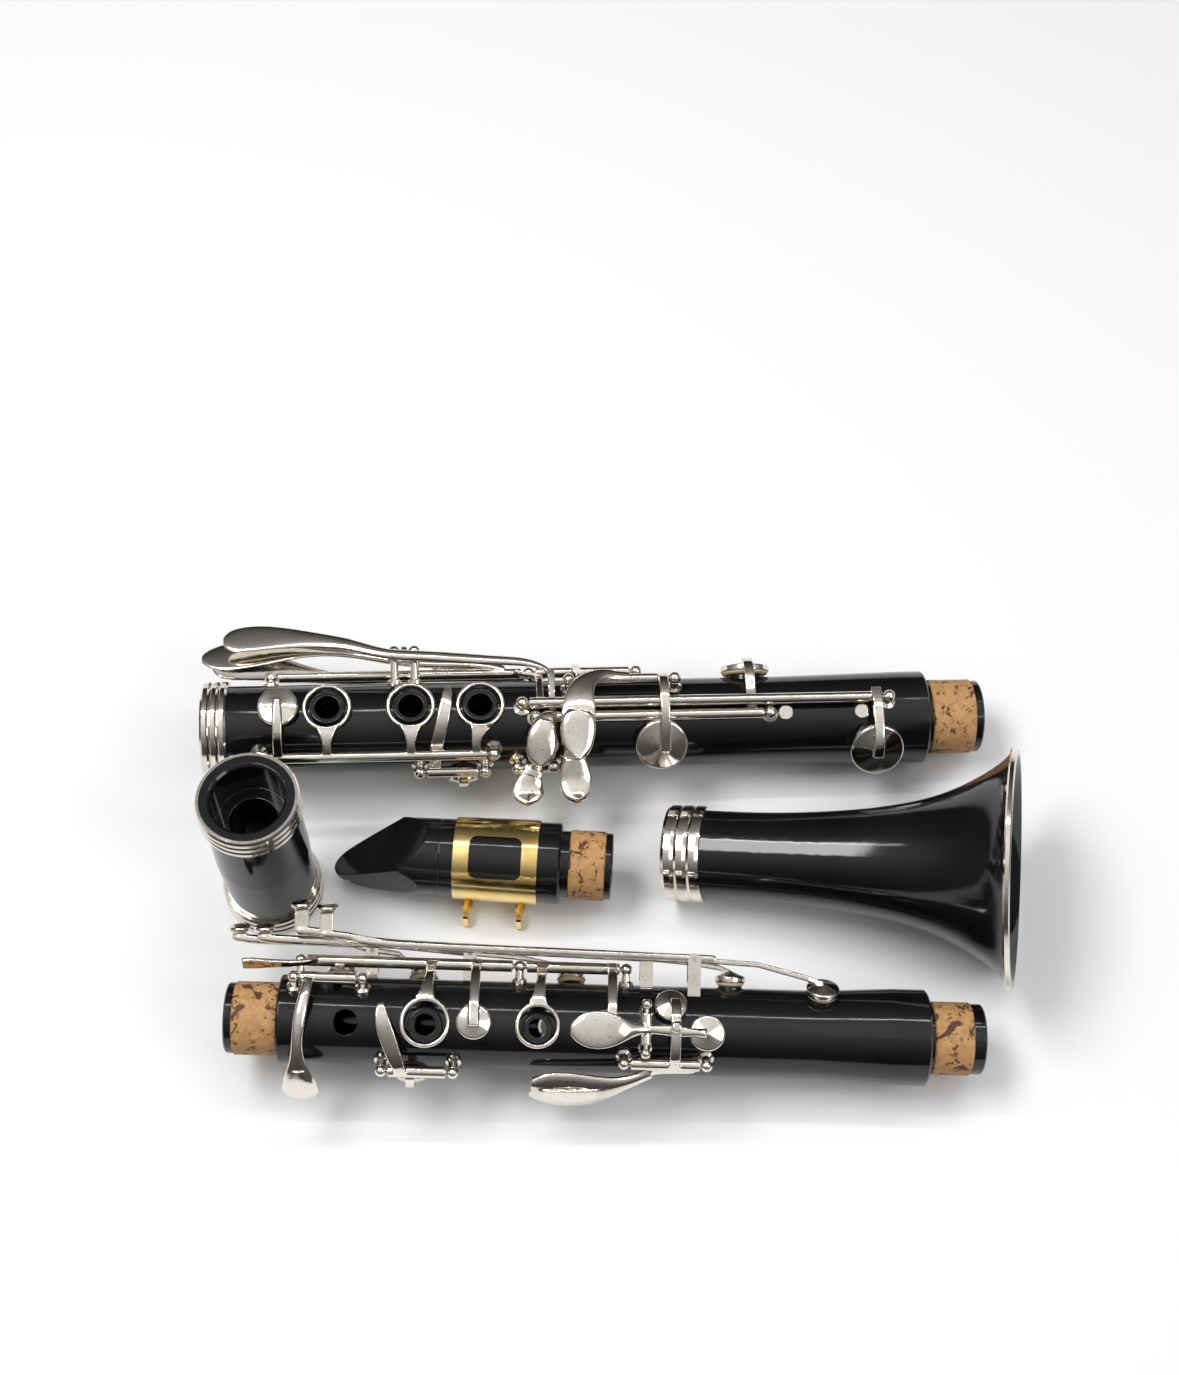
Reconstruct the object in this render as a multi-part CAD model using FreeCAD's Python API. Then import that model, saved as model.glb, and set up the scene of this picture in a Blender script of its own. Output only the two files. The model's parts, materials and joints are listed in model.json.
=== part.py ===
"""A B-flat clarinet taken apart into its five sections, with its keywork on working hinges.

Every section is drawn in its own frame: x runs along the bore from the section's left end, the finger
holes face +z. Each section is then rolled, tilted and turned to lie on the floor beside the others.
"""
import FreeCAD, Part
import math
import os

V = FreeCAD.Vector

# Shared sizes of the keywork, in mm.
TUBE_R = 1.75            # outside radius of a hinge tube
TUBE_BORE_R = 0.85
ROD_R = 0.75
BALL_R = 2.1             # head of a post
STEM_R = 1.2
FLANGE_R = 2.7
FLANGE_T = 0.8
END_GAP = 0.25           # play between a hinge tube and the post beside it
PAD_T = 2.3
PAD_GAP = 0.06           # a closed pad over its seat
CUP_LIP = 1.0            # how far a pad stands out of its cup
CUP_WALL = 0.45
CUP_CROWN = 1.5
ARM_HALF_W = 1.5
ARM_HALF_T = 0.8

# Bore, tenons and sockets.
BORE_R = 7.4
TENON_CORK_R = 10.95
SOCKET_R = 11.1
BELL_CORK_R = 12.2
BELL_SOCKET_R = 12.35
CORK_T = 0.9
RING_WALL = 1.4
RING_LEN = 8.6
RING_R = 15.8

# Lower joint.
LOWER_LEN = 254.4
LOWER_SHOULDER = 235.9
LOWER_R = 14.3
LOWER_FOOT_R = 15.2
LOWER_SOCKET_DEPTH = 17.0
LOWER_SEAT = 14.9        # distance of the pad seats from the bore line
LOWER_HOLES = (40.9, 67.5, 89.7)
CHIMNEY_R = 5.6
CHIMNEY_TOP = 16.2
LOWER_HOLE_R = 4.0

# Upper joint.
UPPER_LEN = 227.4
UPPER_LEFT_SHOULDER = 16.0
UPPER_RIGHT_SHOULDER = 210.4
UPPER_R = 13.2
UPPER_TOP_R = 14.4
UPPER_SEAT = 13.8

# Barrel, mouthpiece and bell.
BARREL_LEN = 65.0
BARREL_R = 14.3
BARREL_SOCKET_DEPTH = 14.5
MOUTH_SHOULDER = 73.3
MOUTH_TENON = 16.2
MOUTH_LEN = MOUTH_SHOULDER + MOUTH_TENON
MOUTH_CORK_START = 2.7      # from the shoulder
MOUTH_CORK_END = 2.2        # short of the tenon's end
MOUTH_R = 12.9
MOUTH_BEAK_LEN = 31.0
BELL_LEN = 108.5
BELL_RIM_R = 37.5
BELL_NECK_R = 14.1
BELL_RING_LEN = 12.0

# How the sections lie: roll, tilt and turn in degrees, and where the left end's bore line stands.
LAY_LOWER = (5.0, 2.5, 2.7, -131.9, 44.7)
LAY_UPPER = (23.0, 2.0, -1.0, -115.4, -53.6)
LAY_MOUTH = (-7.3, 0.0, -3.7, -88.7, 6.0)
LAY_BELL = (0.0, -11.75, -8.6, 19.1, 6.2)
LAY_BARREL = (0.0, -90.0, 0.0, -108.5, -0.1)


# ---------------------------------------------------------------- shapes used again and again

def polar(x, angle, radius):
    """A point round the bore line: angle 0 is on top, positive towards +y."""
    turn = math.radians(angle)
    return V(x, radius * math.sin(turn), radius * math.cos(turn))


def outward(angle):
    return polar(0.0, angle, 1.0)


def fuse(shapes):
    first, rest = shapes[0], shapes[1:]
    return first.multiFuse(rest).removeSplitter() if rest else first


def lathe(profile):
    """A solid turned round the bore line from (x, radius) corners."""
    corners = [V(x, 0, r) for x, r in profile]
    return Part.Face(Part.makePolygon(corners + corners[:1])).revolve(V(0, 0, 0), V(1, 0, 0), 360)


def turned(profile, base, axis):
    """A solid turned round its own axis from (height, radius) corners."""
    corners = [V(r, 0, h) for h, r in profile]
    solid = Part.Face(Part.makePolygon(corners + corners[:1])).revolve(V(0, 0, 0), V(0, 0, 1), 360)
    solid.Placement = FreeCAD.Placement(base, FreeCAD.Rotation(V(0, 0, 1), axis))
    return solid


def pin(start, end, radius):
    run = end - start
    return Part.makeCylinder(radius, run.Length, start, run)


def hinge_tube(start, end):
    """A key's tube between two points, drilled for its rod."""
    return pin(start, end, TUBE_R).cut(pin(start, end, TUBE_BORE_R))


def frames(points):
    """The direction of travel at every point of a path."""
    last = len(points) - 1
    return [(points[min(i + 1, last)] - points[max(i - 1, 0)]).normalize() for i in range(last + 1)]


def across(side, travel):
    """The part of a side direction that is square to the travel."""
    return (side - travel * side.dot(travel)).normalize()


def bar(points, side, half_widths, half_thick, ruled=False):
    """A flat bar that follows a path; side is the way its width lies."""
    wires = []
    for point, travel, half in zip(points, frames(points), half_widths):
        wide = across(side, travel) * half
        thin = travel.cross(wide).normalize() * half_thick
        wires.append(Part.makePolygon([point + wide + thin, point - wide + thin,
                                       point - wide - thin, point + wide - thin, point + wide + thin]))
    return Part.makeLoft(wires, True, ruled)


def blade(points, side, half_widths, half_thicks):
    """A touch piece or lever with an oval section; side is the way its width lies, or one way per point."""
    sides = side if isinstance(side, list) else [side] * len(points)
    wires = []
    for point, travel, way, half, thick in zip(points, frames(points), sides, half_widths, half_thicks):
        wide = across(way, travel) * half
        thin = travel.cross(wide).normalize() * thick
        wires.append(Part.Wire(Part.Ellipse(point + wide, point + thin, point).toShape()))
    return Part.makeLoft(wires, True, False)


def cup(seat, axis, radius):
    """A pad cup with a low conical crown; seat is the middle of the pad's face."""
    inner = radius - CUP_WALL
    top = PAD_T + 0.7
    return turned([(PAD_T, 0), (PAD_T, inner), (CUP_LIP, inner), (CUP_LIP, radius), (top - 0.3, radius),
                   (top, radius - 0.4), (top + CUP_CROWN, 0)], seat, axis)


def pad(seat, axis, radius):
    inner = radius - CUP_WALL
    return turned([(0, 0), (0, inner - 0.5), (0.5, inner), (PAD_T, inner), (PAD_T, 0)], seat, axis)


def finger_ring(centre, inner, outer, height):
    """A ring round a finger hole, its rim rounded off on top."""
    soft = 0.4
    return turned([(0, inner), (0, outer - soft), (soft, outer), (height - soft, outer),
                   (height, outer - soft), (height, inner + soft), (height - soft, inner)], centre,
                   V(0, 0, 1))


def post(x, angle, surface, reach, head=BALL_R):
    """A ball post screwed into the body, its ball centred at reach from the bore line."""
    axis = outward(angle)
    foot = polar(x, angle, surface - 1.2)
    waist = reach - surface + 1.2
    flange = FLANGE_R * head / BALL_R
    stem = turned([(0, 0), (0, flange), (1.2 + FLANGE_T, flange), (1.2 + FLANGE_T + 0.5, STEM_R + 0.3),
                   (waist - head * 0.5, STEM_R), (waist, STEM_R), (waist, 0)], foot, axis)
    return stem.fuse(Part.makeSphere(head, polar(x, angle, reach)))


def ridged_ring(start, length, inner, outer):
    """A metal ring with three beads round a socket."""
    groove = 0.55
    third = length / 3.0
    profile = [(start, inner), (start, outer - groove)]
    for i in range(3):
        left = start + i * third
        profile += [(left + 0.25 * third, outer), (left + 0.75 * third, outer),
                    (left + third, outer - groove)]
    return lathe(profile + [(start + length, inner)])


def turn_about(shape, pivot, axis, angle):
    moved = shape.copy()
    moved.rotate(pivot, axis, angle)
    return moved


# ---------------------------------------------------------------- hinges

X_AXIS = V(1, 0, 0)
Y_AXIS = V(0, 1, 0)
Z_AXIS = V(0, 0, 1)

HINGES = {}


def hinge(name, section, pivot, axis, low, high):
    """Note where a key turns: its range is in degrees from where it rests."""
    HINGES[name] = (section, pivot, axis, low, high)


# Hinge lines of the lower joint: (y, z) across the bore line.
LOWER_RING_LINE = polar(0, -54, 18.7)
LOWER_SLIVER_LINE = polar(0, -80, 17.8)
E_LINE = polar(0, -3, 18.7)
F_SHARP_LINE = polar(0, -17, 17.6)
F_LINE = polar(0, 24, 18.9)
A_FLAT_LINE = polar(0, -74, 18.2)
LEFT_LINE = polar(0, 84, 17.9)
TALL_LINE = polar(0, 66, 24.6)

# Hinge lines of the upper joint.
UPPER_RING_LINE = polar(0, 83, 17.9)
C_SHARP_LINE = polar(0, 47, 17.6)
UPPER_SLIVER_LINE = polar(0, -52, 17.6)
G_SHARP_LINE = polar(0, -33, 17.6)
THUMB_LINE = polar(0, -138, 17.4)


def at(x, line):
    return V(x, line.y, line.z)


def line_angle(line):
    return math.degrees(math.atan2(line.y, line.z))


def line_reach(line):
    return math.hypot(line.y, line.z)


def post_on(x, line, surface, head=BALL_R):
    """A ball post that carries a hinge line which runs along the body."""
    ball = post(x, line_angle(line), surface, line_reach(line), head)
    bore = pin(at(x - 3, line), at(x + 3, line), ROD_R)
    return ball.cut(bore)


# ---------------------------------------------------------------- lower joint: body, rings, tenon

def drill(body, x, angle, radius, reach=22.0):
    return body.cut(pin(polar(x, angle, 0), polar(x, angle, reach), radius))


def seat_ring(x, angle, radius, surface, top):
    """The raised seat that a pad closes on, or the chimney round a finger hole."""
    height = top - surface + 3.0
    return turned([(0, 0), (0, radius), (height - 0.3, radius), (height, radius - 0.3), (height, 0)],
                  polar(x, angle, surface - 3.0), outward(angle))


# Pads of the lower joint: x, angle, cup radius, hole radius.
LOWER_RING_PAD = (25.4, 0.0, 6.4, 3.6)
LOWER_SLIVER_PAD = (84.0, -112.0, 5.0, 2.8)
A_FLAT_PAD = (110.0, -46.0, 4.6, 2.9)
F_PAD = (147.5, -51.0, 8.3, 5.6)
F_SHARP_PAD = (177.4, 72.0, 8.0, 5.2)
E_PAD = (217.3, -58.0, 8.6, 6.0)
LOWER_PADS = (LOWER_RING_PAD, LOWER_SLIVER_PAD, A_FLAT_PAD, F_PAD, F_SHARP_PAD, E_PAD)


def lower_seat(x):
    """Seats follow the swelling foot of the joint."""
    return LOWER_SEAT if x < 200 else LOWER_SEAT + 0.9


def lower_joint_body():
    tenon_r = BELL_CORK_R - 0.4
    channel = BELL_CORK_R - CORK_T
    cork_from, cork_to = LOWER_SHOULDER + 1.6, LOWER_SHOULDER + 15.9
    outside = [(0.4, RING_R - RING_WALL), (RING_LEN, RING_R - RING_WALL), (RING_LEN, LOWER_R), (185, LOWER_R),
               (228, LOWER_FOOT_R), (LOWER_SHOULDER - 0.6, LOWER_FOOT_R),
               (LOWER_SHOULDER, LOWER_FOOT_R - 0.6),
               (LOWER_SHOULDER, tenon_r), (cork_from, tenon_r), (cork_from, channel), (cork_to, channel),
               (cork_to, tenon_r), (LOWER_LEN - 0.5, tenon_r), (LOWER_LEN, tenon_r - 0.5)]
    inside = [(LOWER_LEN, 9.6), (150, BORE_R), (LOWER_SOCKET_DEPTH, BORE_R), (LOWER_SOCKET_DEPTH, SOCKET_R),
              (1.2, SOCKET_R), (0.4, SOCKET_R + 0.8)]
    body = lathe(outside + inside)
    seats = [seat_ring(x, 0, CHIMNEY_R, LOWER_R, CHIMNEY_TOP) for x in LOWER_HOLES]
    seats += [seat_ring(x, angle, hole + 1.1, LOWER_R, lower_seat(x)) for x, angle, _, hole in LOWER_PADS]
    tube = lathe([(0, 13.0), (LOWER_LEN, 13.0), (LOWER_LEN, 0), (0, 0)])
    body = body.fuse(fuse(seats).cut(tube))
    for x in LOWER_HOLES:
        body = drill(body, x, 0, LOWER_HOLE_R)
    for x, angle, _, hole in LOWER_PADS:
        body = drill(body, x, angle, hole)
    return body


def lower_socket_ring():
    return ridged_ring(0.4, RING_LEN - 0.4, RING_R - RING_WALL, RING_R)


def lower_tenon_cork():
    start, end = LOWER_SHOULDER + 1.6, LOWER_SHOULDER + 15.9
    return cork_sleeve(start, end, BELL_CORK_R)


def cork_sleeve(start, end, radius):
    """A cork wrapped round a tenon, its edges rounded."""
    soft = 0.35
    return lathe([(start, radius - CORK_T), (start, radius - soft), (start + soft, radius),
                  (end - soft, radius), (end, radius - soft), (end, radius - CORK_T)])


# Posts of the lower joint along each hinge line.
LOWER_RING_POSTS = (19.0, 93.8)
LOWER_SLIVER_POSTS = (70.0, 91.0)
E_POSTS = (103.1, 221.6)
F_SHARP_POSTS = (107.4, 183.0)
F_POSTS = (118.4, 152.6)
A_FLAT_POSTS = (101.5, 116.8)
LEFT_POSTS = (21.5, 106.0, 141.6)
TALL_POSTS = (62.0, 68.6)
ROD_GUIDES = (188.2, 213.0)


def lower_post_places():
    places = [(x, LOWER_RING_LINE) for x in LOWER_RING_POSTS]
    places += [(x, LOWER_SLIVER_LINE) for x in LOWER_SLIVER_POSTS]
    places += [(x, E_LINE) for x in E_POSTS] + [(x, F_SHARP_LINE) for x in F_SHARP_POSTS]
    places += [(x, F_LINE) for x in F_POSTS] + [(x, A_FLAT_LINE) for x in A_FLAT_POSTS]
    places += [(x, LEFT_LINE) for x in LEFT_POSTS] + [(x, TALL_LINE) for x in TALL_POSTS]
    return places


def lower_posts():
    posts = [post_on(x, line, LOWER_R) for x, line in lower_post_places()]
    guides = [turned([(0, 0), (0, 2.5), (2.4, 2.5), (2.7, 2.2), (2.7, 0)], polar(x, -16, LOWER_R - 1.2),
                     outward(-16)) for x in ROD_GUIDES]
    return Part.Compound(posts + guides)


def rods_between(spans, overhang=1.2):
    return [pin(at(ends[0] - overhang, line), at(ends[-1] + overhang, line), ROD_R) for ends, line in spans]


def lower_rods():
    spans = [(LOWER_RING_POSTS, LOWER_RING_LINE), (LOWER_SLIVER_POSTS, LOWER_SLIVER_LINE), (E_POSTS, E_LINE),
             (F_SHARP_POSTS, F_SHARP_LINE), (F_POSTS, F_LINE), (A_FLAT_POSTS, A_FLAT_LINE),
             (LEFT_POSTS, LEFT_LINE), (TALL_POSTS, TALL_LINE)]
    return Part.Compound(rods_between(spans))


def thumb_rest():
    """A curved hook on a plate under the joint, held by two screws."""
    middle, half_w = 58.0, 6.5
    plate_t, plate_len, hook = 1.6, 26.0, 7.6
    plate = Part.makeCylinder(LOWER_R + plate_t, plate_len, V(middle - 9.0, 0, 0), X_AXIS)
    plate = plate.cut(Part.makeCylinder(LOWER_R, plate_len, V(middle - 9.0, 0, 0), X_AXIS))
    plate = plate.common(Part.makeBox(plate_len, 2 * half_w, 20, V(middle - 9.0, -half_w, -20)))
    under = -(LOWER_R + 0.6)
    curl = bar([V(middle, 0, under), V(middle - 0.6, 0, under - 3), V(middle - 2.6, 0, under - hook + 1.4),
                V(middle - 6.0, 0, under - hook)], Y_AXIS, (half_w, half_w, half_w, half_w - 1.0), 0.9)
    heads = [turned([(0, 0), (0, 1.9), (0.8, 1.9), (1.3, 1.2), (1.3, 0)],
                    V(middle + dx, 0, -LOWER_R - plate_t + 0.2),
                    V(0, 0, -1)) for dx in (4.0, 12.5)]
    return fuse([plate, curl] + heads)


# ---------------------------------------------------------------- lower joint: keys

def wrap(x, stops, half_w=ARM_HALF_W, half_t=ARM_HALF_T):
    """A key arm that wraps round the body at one x through (angle, distance) stops."""
    points = [polar(x, angle, reach) for angle, reach in stops]
    return bar(points, X_AXIS, [half_w] * len(points), half_t)


def cup_root(place, seat):
    """Where an arm lands on a cup's crown."""
    x, angle, _, _ = place
    return polar(x, angle, seat + PAD_GAP + PAD_T + 1.5)


def pad_pair(place, seat):
    x, angle, radius, _ = place
    face = polar(x, angle, seat + PAD_GAP)
    return cup(face, outward(angle), radius), pad(face, outward(angle), radius)


def open_up(shapes, line, angle):
    """Swing a key from where it closes its hole to where its spring holds it."""
    return [turn_about(shape, line, X_AXIS, angle) for shape in shapes]


def lower_ring_key():
    """Three finger rings and one pad on one long tube."""
    lift = 4.0
    line = LOWER_RING_LINE
    tube = hinge_tube(at(LOWER_RING_POSTS[0] + BALL_R + END_GAP, line),
                      at(LOWER_RING_POSTS[1] - BALL_R - END_GAP, line))
    inner, outer, height, low = CHIMNEY_R + 0.9, CHIMNEY_R + 2.2, 1.8, CHIMNEY_TOP - 1.3
    pieces = [tube]
    for x in LOWER_HOLES:
        root = x if x < 80 else x - 1.4
        pieces.append(finger_ring(V(x, 0, low), inner, outer, height))
        pieces.append(bar([V(x, -inner - 0.5, low + 0.9), V(root, -11.2, low - 0.3),
                           V(root, line.y + 0.8, line.z + 1.3)],
                          X_AXIS, (3.2, 1.5, 1.4), 0.8))
    head, disc = pad_pair(LOWER_RING_PAD, LOWER_SEAT)
    x = LOWER_RING_PAD[0]
    pieces.append(head)
    pieces.append(bar([V(x, 2.0, 19.2), V(x, -3.0, 18.8), V(x, -9.5, 16.6), V(x, line.y + 0.5, line.z + 1.2)],
                      X_AXIS, (0.7, 1.3, 1.5, 1.5), 0.8))
    hinge("lower_ring_key", "lower", at(55, line), X_AXIS, -lift, 0)
    return open_up([fuse_drilled(pieces, tube_bore(LOWER_RING_POSTS, line)), disc], line, lift)


def tube_bore(ends, line):
    """The room a rod needs where arms are joined to a hinge tube."""
    return pin(at(ends[0] - 5, line), at(ends[-1] + 5, line), TUBE_BORE_R)


def fuse_drilled(pieces, bore):
    return fuse(pieces).cut(bore)


def lower_sliver_key():
    """A thin blade that rises between the rings and opens a pad below its hinge."""
    line = LOWER_SLIVER_LINE
    tube = hinge_tube(at(LOWER_SLIVER_POSTS[0] + BALL_R + END_GAP, line),
                      at(LOWER_SLIVER_POSTS[1] - BALL_R - END_GAP, line))
    points = [polar(75.0, -78, 17.6), polar(75.0, -66, 16.2), polar(75.4, -54, 15.75), polar(76.4, -36, 16.1),
              polar(78.2, -10, 17.2), polar(79.4, 20, 17.8)]
    sliver = bar(points, X_AXIS, (1.6, 1.9, 2.0, 2.0, 1.9, 0.8), 0.55)
    head, disc = pad_pair(LOWER_SLIVER_PAD, LOWER_SEAT)
    root = cup_root(LOWER_SLIVER_PAD, LOWER_SEAT)
    arm = bar([root, polar(84, -98, 19.6), polar(84, -84, 18.4)], X_AXIS, (1.2, 1.5, 1.5), 0.8)
    hinge("lower_sliver_key", "lower", at(80, line), X_AXIS, -4, 0)
    return [fuse_drilled([tube, sliver, head, arm], tube_bore(LOWER_SLIVER_POSTS, line)), disc]


def touch(points, half_widths, half_thick, side=X_AXIS):
    return blade(points, side, half_widths, [half_thick] * len(points))


def e_key():
    """The long key of the right little finger: its cup is nearest the bell."""
    lift = 8.0
    line = E_LINE
    tube = hinge_tube(at(E_POSTS[0] + BALL_R + END_GAP, line), at(E_POSTS[1] - BALL_R - END_GAP, line))
    head, disc = pad_pair(E_PAD, lower_seat(E_PAD[0]))
    x = E_PAD[0]
    arm = wrap(x, [(4, 20.2), (-14, 20.5), (-34, 21.0), (-48, 21.4), (-62, 21.1)], 1.6, 0.8)
    plate = touch([V(119.5, -1.4, 20.2), V(119.5, -5.2, 20.5), V(119.5, -9.2, 18.4), V(119.4, -14.0, 14.4),
                   V(119.4, -19.0, 9.6), V(119.6, -23.6, 6.6), V(119.8, -27.6, 5.4), V(119.9, -29.8, 5.4)],
                  (1.6, 1.7, 1.9, 2.8, 4.4, 5.2, 4.2, 1.8), 0.75)
    tab = bar([V(108.9, -0.2, 19.0), V(108.9, 5.0, 17.6), V(108.9, 11.8, 14.8)], X_AXIS, (1.1, 1.1, 1.1), 0.6)
    hinge("e_key", "lower", at(160, line), X_AXIS, 0, lift)
    metal = fuse_drilled([tube, head, arm, plate, tab], tube_bore(E_POSTS, line))
    return open_up([metal, disc], line, -lift)


def f_sharp_key():
    """Its cup is on the far side, so its arm slips under the long tube."""
    line = F_SHARP_LINE
    tube = hinge_tube(at(F_SHARP_POSTS[0] + BALL_R + END_GAP, line),
                      at(F_SHARP_POSTS[1] - BALL_R - END_GAP, line))
    head, disc = pad_pair(F_SHARP_PAD, LOWER_SEAT)
    x = F_SHARP_PAD[0]
    under = wrap(x, [(-17, 16.2), (-9, 15.35), (2, 15.35), (14, 15.7), (30, 18.0), (46, 20.1), (62, 20.0)],
                 1.6, 0.45)
    neck = touch([V(112.0, -5.6, 18.2), V(111.6, -5.6, 20.6), V(110.4, -8.0, 21.5), V(109.3, -12.0, 20.6),
                  V(108.8, -16.0, 18.8), V(108.5, -19.6, 16.8), V(108.4, -21.4, 15.8)],
                 (1.5, 1.8, 2.8, 4.3, 4.8, 4.0, 1.8), 0.75)
    tab = bar([V(112.8, -4.6, 15.6), V(112.8, -1.0, 15.25), V(112.8, 5.0, 15.2), V(112.8, 12.6, 14.9)],
              X_AXIS, (1.1, 1.1, 1.1, 1.1), 0.4)
    hinge("f_sharp_key", "lower", at(145, line), X_AXIS, 0, 6)
    return [fuse_drilled([tube, head, under, neck, tab], tube_bore(F_SHARP_POSTS, line)), disc]


def f_key():
    """The short key on the highest line: its arm crosses over both long tubes."""
    lift = 7.0
    line = F_LINE
    tube = hinge_tube(at(F_POSTS[0] + BALL_R + END_GAP, line), at(F_POSTS[1] - BALL_R - END_GAP, line))
    head, disc = pad_pair(F_PAD, LOWER_SEAT)
    x = F_PAD[0] + 1.0
    over = wrap(x, [(24, 20.2), (12, 21.9), (-3, 22.3), (-20, 21.2), (-36, 19.8), (-56, 19.3)], 1.5, 0.8)
    path = [V(138.0, 7.4, 19.2), V(131.0, 7.4, 20.6), V(125.6, 5.2, 22.4), V(122.0, 0.0, 23.4),
            V(120.8, -7.0, 22.6), V(120.3, -13.0, 20.4), V(120.2, -18.6, 17.8), V(120.2, -21.6, 16.6)]
    ways = [V(0, 1, 0), V(0, 1, 0), V(-0.7, 0.7, 0), V(-0.95, 0.3, 0)] + [V(-1, 0, 0)] * 4
    neck = touch(path, (1.7, 1.9, 2.6, 4.2, 5.4, 5.5, 4.2, 1.8), 0.75, ways)
    tab = bar([V(122.3, 7.8, 19.0), V(121.6, 10.6, 17.2), V(121.2, 13.2, 14.4)], X_AXIS, (1.2, 1.2, 1.1), 0.6)
    hinge("f_key", "lower", at(135, line), X_AXIS, 0, lift)
    metal = fuse_drilled([tube, head, over, neck, tab], tube_bore(F_POSTS, line))
    return open_up([metal, disc], line, -lift)


def a_flat_key():
    """Its cup hides under the other touches; its own touch stands out beside the joint."""
    line = A_FLAT_LINE
    tube = hinge_tube(at(A_FLAT_POSTS[0] + BALL_R + END_GAP, line),
                      at(A_FLAT_POSTS[1] - BALL_R - END_GAP, line))
    head, disc = pad_pair(A_FLAT_PAD, LOWER_SEAT)
    arm = wrap(A_FLAT_PAD[0], [(-74, 19.6), (-63, 20.2), (-53, 19.8), (-44, 19.2)], 1.4, 0.7)
    plate = touch([V(106.6, line.y - 0.6, line.z + 1.2), V(105.8, -20.6, 5.2), V(104.8, -23.6, 3.8),
                   V(104.4, -26.0, 3.4), V(104.2, -28.4, 3.6), V(104.2, -29.6, 3.8)],
                  (2.0, 3.6, 4.8, 5.2, 3.8, 1.6), 0.8)
    hinge("a_flat_key", "lower", at(109, line), X_AXIS, 0, 7)
    return [fuse_drilled([tube, head, arm, plate], tube_bore(A_FLAT_POSTS, line)), disc]


def left_e_key():
    """The large spatula of the left little finger, on the long tube along the side."""
    line = LEFT_LINE
    ends = (LEFT_POSTS[0], LEFT_POSTS[1])
    tube = hinge_tube(at(ends[0] + BALL_R + END_GAP, line), at(103.5, line))
    lever = blade([V(98.0, 19.0, 2.4), V(90.0, 20.6, 2.8), V(76.0, 21.2, 3.2), V(62.0, 22.4, 4.0),
                   V(48.0, 25.0, 5.2),
                   V(34.0, 26.4, 6.2), V(22.0, 25.6, 6.6), V(10.0, 24.0, 6.2), V(2.0, 23.4, 5.6),
                   V(-0.8, 23.4, 5.4)],
                  V(0, 0.96, -0.28), (1.7, 1.7, 1.7, 1.8, 2.4, 4.2, 6.0, 6.2, 4.2, 1.6),
                  (1.2, 1.2, 1.2, 1.2, 1.0, 0.8, 0.75, 0.75, 0.7, 0.5))
    finger = bar([V(101.6, 17.6, 3.4), V(104.4, 16.0, 5.0), V(108.9, 13.7, 7.6), V(108.9, 11.7, 10.3),
                  V(108.9, 9.4, 12.0)],
                 X_AXIS, (1.0, 1.0, 1.1, 1.1, 1.1), 0.6)
    hinge("left_e_key", "lower", at(60, line), X_AXIS, -10, 0)
    return [fuse_drilled([tube, lever, finger], tube_bore(ends, line))]


def left_f_sharp_key():
    """The upper spatula, rocking between two tall posts."""
    line = TALL_LINE
    tube = hinge_tube(at(TALL_POSTS[0] + BALL_R + END_GAP, line), at(TALL_POSTS[1] - BALL_R - END_GAP, line))
    mid = sum(TALL_POSTS) / 2
    boss = pin(at(mid, line), V(mid, 19.8, 13.2), 1.2)
    lever = blade([V(112.9, 12.0, 13.2), V(109.6, 14.2, 14.2), V(105.0, 15.6, 14.4), V(97.0, 16.6, 14.2),
                   V(84.0, 17.8, 14.0), V(mid + 6.0, 19.0, 13.8), V(mid, 19.4, 13.8),
                   V(mid - 6.0, 20.2, 13.6),
                   V(48.0, 23.8, 12.8), V(36.0, 26.4, 11.8), V(24.0, 27.6, 11.4), V(14.0, 27.4, 11.2),
                   V(8.4, 26.8, 11.0), V(6.6, 26.6, 10.9)],
                  V(0, 0.97, -0.2), (0.9, 1.2, 1.5, 1.7, 1.9, 1.9, 1.9, 1.9, 2.3, 3.2, 4.6, 5.2, 3.8, 1.4),
                  (0.6, 0.7, 0.9, 1.1, 1.2, 1.2, 1.2, 1.2, 1.1, 1.0, 0.8, 0.75, 0.7, 0.5))
    hinge("left_f_sharp_key", "lower", at(mid, line), X_AXIS, -10, 0)
    return [fuse_drilled([tube, boss, lever], tube_bore(TALL_POSTS, line))]


def left_f_key():
    """The lowest spatula: a long bar under the tube of the large one."""
    line = LEFT_LINE
    ends = (LEFT_POSTS[1], LEFT_POSTS[2])
    tube = hinge_tube(at(ends[0] + BALL_R + END_GAP, line), at(ends[1] - BALL_R - END_GAP, line))
    lever = blade([V(112.0, 18.0, -0.6), V(106.0, 18.6, -2.4), V(90.0, 18.8, -2.8), V(60.0, 19.0, -2.8),
                   V(42.0, 19.6, -2.8), V(30.0, 21.6, -2.4), V(20.0, 23.6, -1.8), V(10.0, 24.4, -1.4),
                   V(3.6, 24.2, -1.2), V(1.6, 24.0, -1.2)],
                  V(0, 0.94, 0.3), (1.1, 1.3, 1.4, 1.5, 2.0, 3.2, 4.6, 5.2, 3.8, 1.4),
                  (0.9, 0.9, 0.9, 0.9, 0.9, 0.8, 0.75, 0.75, 0.7, 0.5))
    finger = bar([V(121.2, 18.6, 3.0), V(121.2, 17.7, 6.6), V(121.2, 15.6, 9.8), V(121.2, 12.6, 12.2)],
                 X_AXIS, (1.1, 1.1, 1.1, 1.1), 0.6)
    hinge("left_f_key", "lower", at(124, line), X_AXIS, -7, 0)
    return [fuse_drilled([tube, lever, finger], tube_bore(ends, line))]


# ---------------------------------------------------------------- upper joint: body, corks, posts

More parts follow.
